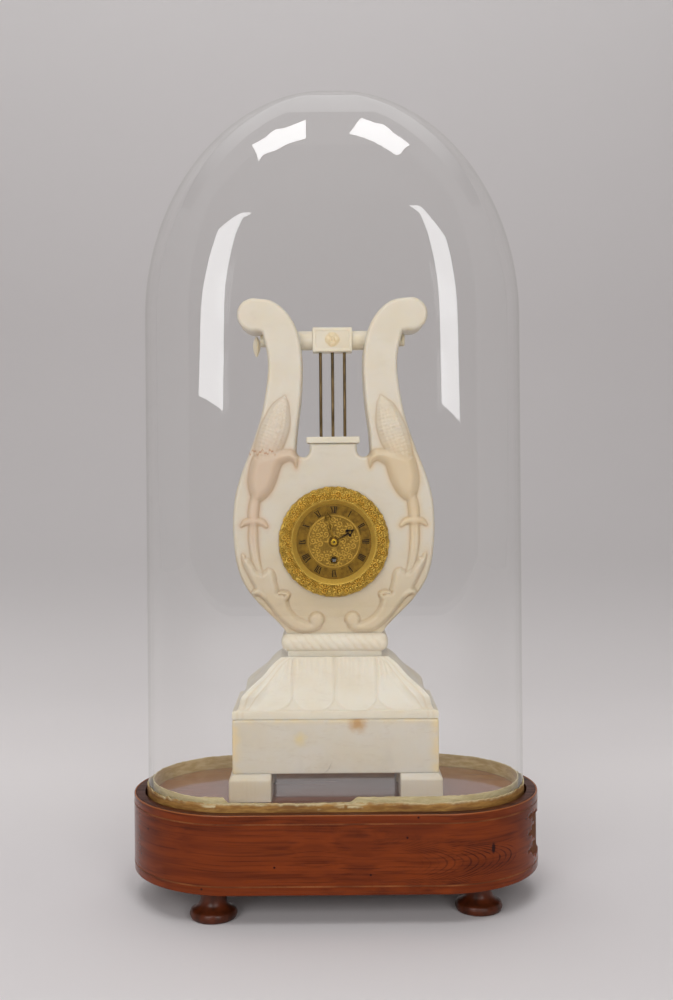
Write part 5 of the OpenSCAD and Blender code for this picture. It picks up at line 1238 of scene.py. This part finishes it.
def pressed(far, turn):
    """Ornament height from about 0 to 1 over the band: uneven leafy scrolls of both hands along its
    middle, small ones above and below them, and leaf strokes between."""
    rng = np.random.default_rng(7)
    length = ROUND * BAND_AT

    def beside(place):
        return np.mod(turn * BAND_AT - place + length / 2, length) - length / 2

    strokes = 0.5 + 0.5 * np.cos(ROUND * (turn * BAND_AT + 1.1 * np.sin(far * 1.4)) / 1.45)
    height = 0.45 * strokes * np.ones_like(far)
    for k in range(SMALL_CURLS):
        place = (k + 0.5) * length / SMALL_CURLS + rng.normal(0, 0.5)
        at = SMALL_AT[k % 2] + rng.normal(0, 0.2)
        size, pitch = rng.uniform(1.2, 2.0), rng.uniform(0.9, 1.2)
        small = curl(beside(place), far - at, size, pitch, 1 - k // 2 % 2 * 2, 7)
        height = np.maximum(height, 0.9 * small)
    for k in range(LARGE_CURLS):
        u, w = beside(k * length / LARGE_CURLS + rng.normal(0, 0.9)), far - BAND_AT - rng.normal(0, 0.7)
        size = rng.uniform(1.7, 2.9)
        ground = step_up(-np.hypot(u, w), -1.6 * size, 0.6 - 1.6 * size)
        scroll = curl(u, w, size, rng.uniform(1.2, 1.6), 1 - k % 2 * 2, 11)
        height = np.maximum(height * (1 - 0.7 * ground), scroll)
    return height - 0.2


face = step_up(far, *BAND_BEGINS) * (1 - step_up(far, *BAND_ENDS))
ornament = pressed(far, turn) * face
slope = np.gradient(section, axis=0)
slope = slope / np.linalg.norm(slope, axis=1, keepdims=True)
push = ORNAMENT * ornament
uneven = 0.16 * np.cos(47 * turn + 2 * np.sin(4 * turn)) + 0.14 * np.cos(23 * turn + 1.5 * np.sin(3 * turn))
scallop = (uneven - 0.3) * step_up(far, 34, BEZEL_EDGE)
r = far + scallop + np.clip(push * slope[:, 1:], -0.4, 0.35)
h = height - push * slope[:, :1]
grid = np.stack([r * np.cos(turn), BEZEL_BACK - h + 0 * turn, DIAL_LEVEL + r * np.sin(turn)], -1)
# Painted light: inside 28 mm the plain hollow is given nearly the brightness of the leaves, so it looks
# lit.
raised = np.where(far < 28, 0.85, 0.5 + 0.6 * ornament) + 0 * turn
bezel = skin("bezel_pressed", grid, caps=False, marks={"raised": raised})
# The leaves that stand out are rubbed to bright gold, and the ground between them stays brown. Painted
# light makes the plain hollow nearly as bright.
ormolu, tree, shader = new_material("brass_pressed_fire_gilt", metallic=0.6, roughness=0.36)
place = add(tree, "TexCoord").outputs["Object"]
raised = add(tree, "Attribute", attribute_name="raised").outputs["Fac"]
stain = blotches(tree, place, (5, 5, 5), 4)
fine = blotches(tree, place, (0.6, 0.6, 0.6))
colour = tinted(tree, linear("96721E"), linear("F4D066"), raised, 0.3, 0.85)
colour = tinted(tree, colour, linear("A8842A"), stain, 0.5, 0.8, 0, 0.3)
tree.links.new(colour, shader.inputs["Base Color"])
polish(tree, shader, stain, 0.3, 0.75, 0.34, 0.48)
grain(tree, shader, fine, 0.2, 0.06)
fit(bezel, "stand", "ormolu", ormolu, "bezel")

# Edging of the dome: two strips of gilt paper pasted inside and outside the glass's foot. Both are rubbed
# brown and torn along the top, and show their plain cream back through the glass.
GLASS_THICK, PAPER_THICK, PASTE = 3.0, 0.7, 0.05
GLASS_OUTER = band_high[1] - 0.8
GLASS_INNER = GLASS_OUTER - GLASS_THICK
GLASS_FOOT = GROOVE_FLOOR + 0.8
STRIP_ROWS = 16
FLAPS = ((264, 273), (341, 356), (360, 368))


def window(low, high, soft=6):
    """1 on the walk round the oval between low and high, falling to 0 over a soft end."""
    walk = WALK[:-1]
    return step_up(walk, low - soft, low) * step_up(-walk, -high - soft, -high)


def paper_strip(name, inner, outer, bottom, top, gilt_outside, flaps=()):
    """Thin upright strip round the oval with an uneven top edge; marks its gilt face, its torn edge and
    the places on the walk where the gilt layer has come off further down."""
    half = np.linspace(0, 1, STRIP_ROWS)[:, None]
    share = np.vstack([half, half[::-1]])
    face = np.repeat([[0.0], [1.0]], STRIP_ROWS, 0)
    level = bottom + (top[None, :] - bottom) * share
    crumple = 0.07 * waves(WALK[:-1], 21, 40, 5)[None, :] * share
    radius = inner + (outer - inner) * face + crumple
    walk_uv = np.stack(np.broadcast_arrays(WALK[None, :], np.hstack([level, level[:, :1]])), -1)
    gilt = (face if gilt_outside else 1 - face) + 0 * level
    bare = sum((window(*flap, 2) for flap in flaps), 0 * top) * (1 + 0.4 * waves(WALK[:-1], 23, 9, 2))
    torn = step_up(level, top - 1.4 - 2.6 * bare, top - 0.2 - 2.2 * bare)
    return skin(name, oval_sweep(radius, level), caps=False, uv=walk_uv, marks={"gilt": gilt, "torn": torn})


tear = STAND_TOP + 5.0 + 0.8 * waves(WALK[:-1], 11, 90, 4) + 0.7 * waves(WALK[:-1], 12, 12, 3)
fold = STAND_TOP + 7.9 - 3.6 * window(284, 360) + 0.5 * waves(WALK[:-1], 15, 120, 10)
fold = fold + 0.25 * waves(WALK[:-1], 16, 9, 3)
outer_strip = paper_strip(
    "edging_paper_outside", GLASS_OUTER + PASTE, GLASS_OUTER + PAPER_THICK, GROOVE_FLOOR, tear, True, FLAPS,
)
inner_strip = paper_strip(
    "edging_paper_inside", GLASS_INNER - PAPER_THICK, GLASS_INNER - PASTE, GROOVE_FLOOR, fold, False,
)


def gilt_paper(name, light, dark, dirty, rubbed):
    """Thin gilt paper: dull yellow rubbed to brown in patches, cream on its back and along its tear."""
    paper, tree, shader = new_material(name, metallic=0.2, roughness=0.55)
    surface = add(tree, "UVMap", uv_map="surface").outputs[0]
    rub = blotches(tree, surface, (11, 2.4, 1), 5, 0.65)
    dirt = blotches(tree, surface, (34, 5, 1), 3)
    colour = tinted(tree, linear(light), linear(dark), rub, 0.36, 0.64)
    colour = tinted(tree, colour, linear(dirty), dirt, 0.42, 0.66, 0, rubbed)
    torn = add(tree, "Attribute", attribute_name="torn").outputs["Fac"]
    bare = add(tree, "MapRange", (dirt, 0.4, 0.55), **SMOOTH).outputs[0]
    patch = add(tree, "Math", (torn, bare), operation="MULTIPLY").outputs[0]
    colour = add(tree, "Mix", {0: patch, 6: colour, 7: linear("D9C99E")}, **COLOURS).outputs[2]
    gilt = add(tree, "Attribute", attribute_name="gilt").outputs["Fac"]
    cream = tinted(tree, linear("D8C898"), linear("B9A470"), rub, 0.3, 0.7)
    tree.links.new(tinted(tree, cream, colour, gilt, 0.4, 0.6), shader.inputs["Base Color"])
    grain(tree, shader, rub, 0.5, 0.3)
    return paper


rubbed_paper = gilt_paper("paper_gilt_rubbed", "B88A48", "94682F", "744620", 0.7)
olive_paper = gilt_paper("paper_gilt_olive", "DCC792", "C2A669", "A88A4C", 0.4)
fit(outer_strip, "dome", "paper_band", rubbed_paper, "edging_band")
fit(inner_strip, "dome", "paper_band", olive_paper)

# The dome: clear glass blown in an oval mould, 3 mm thick, standing loose in its groove. It shows only by
# its mirroring, its slow ripples and the darker line where its wall is seen edge-on.
low, high = limits("glass_dome")
DOME_WALL = 324.0
SPRING, CROWN = GLASS_FOOT + DOME_WALL, high[2]
ARCH_POWER = 3.2
WALL_ROWS, ARCH_ROWS = 24, 96
INSIDE_GLOSS = 0.12
GLASS_CLEAR, GLASS_EDGE = (0.994, 0.994, 0.992, 1), (0.91, 0.91, 0.9, 1)


def dome_wall(radius, rise):
    """Straight wall from the foot, then an arch: its half width falls as a cosine and its half depth as
    the root of one minus a power of the sine. Gives each ring's half straight, end radius and level."""
    a = np.linspace(0, math.pi / 2, ARCH_ROWS + 1)[:-1]
    a = math.pi / 2 * np.sin(a) ** 0.9
    a = np.minimum(a, math.radians(89))
    depth = radius * np.sqrt(1 - np.sin(a) ** ARCH_POWER)
    width = (HALF_STRAIGHT + radius) * np.cos(a)
    wall = np.linspace(0, 1, WALL_ROWS, endpoint=False)
    straight = np.concatenate([np.full(WALL_ROWS, HALF_STRAIGHT), width - depth])
    ends = np.concatenate([np.full(WALL_ROWS, radius), depth])
    level = np.concatenate([GLASS_FOOT + DOME_WALL * wall, SPRING + rise * np.sin(a)])
    return straight, ends, level


def dome_rings(straight, ends, level):
    """Rings of the dome: the oval walk with its straight part shortened to each ring's own."""
    x = straight[:, None] / HALF_STRAIGHT * OVAL_X[:-1:2] + ends[:, None] * OUT_X[:-1:2]
    y = ends[:, None] * OUT_Y[:-1:2]
    return np.stack([x, y, level[:, None] + 0 * x], -1)


outer_rings = dome_rings(*dome_wall(GLASS_OUTER, CROWN - SPRING))
inner_rings = dome_rings(*dome_wall(GLASS_INNER, CROWN - SPRING - GLASS_THICK))
shell = np.concatenate([inner_rings[::-1], outer_rings])
faces_out = np.repeat([INSIDE_GLOSS, 1.0], len(outer_rings))[:, None] + 0 * shell[..., 0]
dome = skin("glass_dome_blown", shell, marks={"gloss": faces_out})
glass = bpy.data.materials.new("soda_glass_blown_clear")
glass.use_nodes = True
tree = glass.node_tree
tree.nodes.clear()
# The outer face carries the mirroring of both faces of the thin wall, and the inner one only a trace.
mirror = add(tree, "Fresnel", {"IOR": 1.7}).outputs[0]
behind = add(tree, "NewGeometry").outputs["Backfacing"]
front = add(tree, "Math", (1.0, behind), operation="SUBTRACT").outputs[0]
share = add(tree, "Math", (mirror, front), operation="MULTIPLY").outputs[0]
gloss = add(tree, "Attribute", attribute_name="gloss").outputs["Fac"]
share = add(tree, "Math", (share, gloss), operation="MULTIPLY").outputs[0]
place = add(tree, "TexCoord").outputs["Object"]
ripple = blotches(tree, place, (60, 60, 120), 1)
bump = add(tree, "Bump", {"Height": ripple, "Strength": 0.1, "Distance": 1.2 * MM}).outputs[0]
# Seen edge-on the wall is thick, and takes more of the light.
facing = add(tree, "LayerWeight", {"Blend": 0.5}).outputs["Facing"]
edge = add(tree, "MapRange", (facing, 0.6, 0.86), **SMOOTH).outputs[0]
edge = add(tree, "Math", (edge, gloss), operation="MULTIPLY").outputs[0]
tint = add(tree, "Mix", {0: edge, 6: GLASS_CLEAR, 7: GLASS_EDGE}, **COLOURS).outputs[2]
clear = add(tree, "BsdfTransparent", {"Color": tint})
shine = add(tree, "BsdfGlossy", {"Color": tint, "Roughness": 0.01, "Normal": bump})
mixed = add(tree, "MixShader", (share, clear.outputs[0], shine.outputs[0]))
add(tree, "OutputMaterial", {"Surface": mixed.outputs[0]})
fit(dome, "dome", "glass", glass, "glass_dome")

# Studio: a pale grey sweep of paper under and behind the clock, clear from behind, two softboxes in front,
# two above and a lamp over the rear of the sweep, and an even fill from the room. The glass shows a pale
# ceiling, and a black cloth behind the camera keeps the rest of the room out of it.
SWEEP_FRONT, SWEEP_BACK, SWEEP_BEND, SWEEP_TOP, SWEEP_HALF = -1.6, 1.0, 0.5, 2.6, 2.6
CLOTH_PLACE = -1.75
SIDE_LIGHT, TOP_LIGHT, CEILING_LIGHT, LAMP_LIGHT, ROOM_LIGHT, ROOM_SEEN = 5.4, 7.6, 1.1, 1.1, 0.36, 0.8
bend = arc((SWEEP_BACK - SWEEP_BEND, SWEEP_BEND), SWEEP_BEND, -90, 0, 24)
line = np.vstack([[(SWEEP_FRONT, 0)], bend, [(SWEEP_BACK, SWEEP_TOP)]])
x = np.array([-SWEEP_HALF, SWEEP_HALF])
points = np.stack([np.stack([x[k] + 0 * line[:, 0], line[:, 0], line[:, 1]], 1) for k in (0, 1)], 1)
n = np.arange(len(line) - 1)
mesh = bpy.data.meshes.new("studio_sweep")
mesh.from_pydata(points.reshape(-1, 3), [], np.stack([2 * n, 2 * n + 1, 2 * n + 3, 2 * n + 2], 1).tolist())
mesh.shade_smooth()
sweep = put("studio_sweep", mesh)
# Matt paper without a shine, painted with light and shade: pale under the clock, paler behind it and high
# on the wall as painted light, and greyer as painted shade where it bends up.
paper, tree, shader = new_material("paper_backdrop_matt", roughness=0.9)
place = add(tree, "TexCoord").outputs["Object"]
x, y, z = add(tree, "SeparateXYZ", (place,)).outputs
colour = tinted(tree, linear("E3DFE0"), linear("F9F5F5"), y, 0.0, 0.36)
colour = tinted(tree, colour, linear("CECACA"), y, 0.5, 0.68, 0, 0.25)
colour = tinted(tree, colour, linear("CECACA"), z, -0.05, 0.17)
colour = tinted(tree, colour, linear("EEEBEB"), z, 0.25, 1.6)
tree.links.new(colour, shader.inputs["Base Color"])
behind = add(tree, "NewGeometry").outputs["Backfacing"]
clear = add(tree, "BsdfTransparent")
seen = add(tree, "MixShader", (behind, shader.outputs[0], clear.outputs[0]))
tree.links.new(seen.outputs[0], tree.nodes["Material Output"].inputs["Surface"])
mesh.materials.append(paper)


def softbox(name, corners, radiance, fade=(2, 3)):
    """Flat lit panel through its corners in mm, which shows only by its light and in reflections. It
    fades sideways between two distances in metres from the middle."""
    mesh = bpy.data.meshes.new(name)
    mesh.from_pydata([[MM * c for c in corner] for corner in corners], [], [range(len(corners))])
    cloth = bpy.data.materials.new(name + "_cloth")
    cloth.use_nodes = True
    tree = cloth.node_tree
    tree.nodes.clear()
    x, y, z = add(tree, "SeparateXYZ", (add(tree, "TexCoord").outputs["Object"],)).outputs
    aside = add(tree, "Math", (x,), operation="ABSOLUTE").outputs[0]
    strength = add(tree, "MapRange", (aside, *fade, radiance, 0), **SMOOTH).outputs[0]
    lit = add(tree, "Emission", {"Color": (1, 1, 1, 1), "Strength": strength})
    add(tree, "OutputMaterial", {"Surface": lit.outputs[0]})
    mesh.materials.append(cloth)
    made = put(name, mesh)
    made.visible_camera = False
    return made


softbox("softbox_left", [
    (-141, -1454, 992), (-747, -1277, 995), (-1095, -1163, 416), (-369, -1529, 387),
], SIDE_LIGHT)
softbox("softbox_right", [
    (146, -1436, 1038), (714, -1323, 922), (898, -1315, 363), (332, -1535, 398),
], SIDE_LIGHT)
softbox("softbox_over_left", [
    (-542, -687, 1750), (-256, -767, 1750), (-78, -636, 1750), (-36, -411, 1750),
    (-39, -899, 1750), (-72, -1012, 1750), (-108, -1218, 1750), (-189, -1462, 1750),
], TOP_LIGHT)
softbox("softbox_over_right", [
    (36, -780, 1750), (54, -366, 1750), (80, -523, 1750), (217, -683, 1750), (536, -725, 1750),
    (140, -1353, 1750), (101, -1096, 1750), (67, -899, 1750),
], TOP_LIGHT)
ceiling = softbox("ceiling", [
    (-2600, -205, 2050), (2600, -205, 2050), (2600, 1000, 2050), (-2600, 1000, 2050),
], CEILING_LIGHT, (0.5, 2.2))
ceiling.visible_diffuse = ceiling.visible_shadow = False
mesh = bpy.data.meshes.new("black_cloth")
sides = ((-SWEEP_HALF, 0), (SWEEP_HALF, 0), (SWEEP_HALF, SWEEP_TOP), (-SWEEP_HALF, SWEEP_TOP))
mesh.from_pydata([(x, CLOTH_PLACE, z) for x, z in sides], [], [(0, 1, 2, 3)])
# Matt black cloth, seen only as the dark in the glass.
cloth, tree, shader = new_material("black_cloth_matt", base_color=linear("1E1D1D"), roughness=1.0)
mesh.materials.append(cloth)
flag = put("black_cloth", mesh)
flag.visible_camera = flag.visible_diffuse = flag.visible_shadow = False
rear = bpy.data.lights.new("backdrop_lamp", "AREA")
rear.shape = "RECTANGLE"
rear.size, rear.size_y = 2.4, 0.8
rear.energy = LAMP_LIGHT * math.pi * rear.size * rear.size_y
rear_lamp = put("backdrop_lamp", rear)
rear_lamp.location = (-0.35, 0.55, 1.9)
rear_lamp.visible_glossy = False
world = bpy.data.worlds.new("studio_room")
world.use_nodes = True
room = world.node_tree.nodes["Background"]
room.inputs["Color"].default_value = linear("D6D3D2")
camera_ray = add(world.node_tree, "LightPath").outputs["Is Camera Ray"]
fill = add(world.node_tree, "MapRange", (camera_ray, 0, 1, ROOM_LIGHT, ROOM_SEEN), **SMOOTH).outputs[0]
world.node_tree.links.new(fill, room.inputs["Strength"])
bpy.context.scene.world = world

# Camera: level, a little over half the clock's height and straight in front of it, framed upright with the
# view shifted to fit.
EYE = (-0.0024, -0.836, 0.291)
LENS, SHIFT_X, SHIFT_Y, ROLL = 44.3, 0.0068, -0.038, 0.45
lens = bpy.data.cameras.new("camera")
lens.lens = LENS
lens.sensor_fit = "AUTO"
lens.sensor_width = 36
lens.shift_x, lens.shift_y = SHIFT_X, SHIFT_Y
lens.clip_start = 0.01
eye = put("camera", lens)
eye.location = EYE
eye.rotation_euler = (math.radians(90), math.radians(ROLL), 0)
bpy.context.scene.camera = eye
bpy.context.scene.view_settings.view_transform = "Standard"
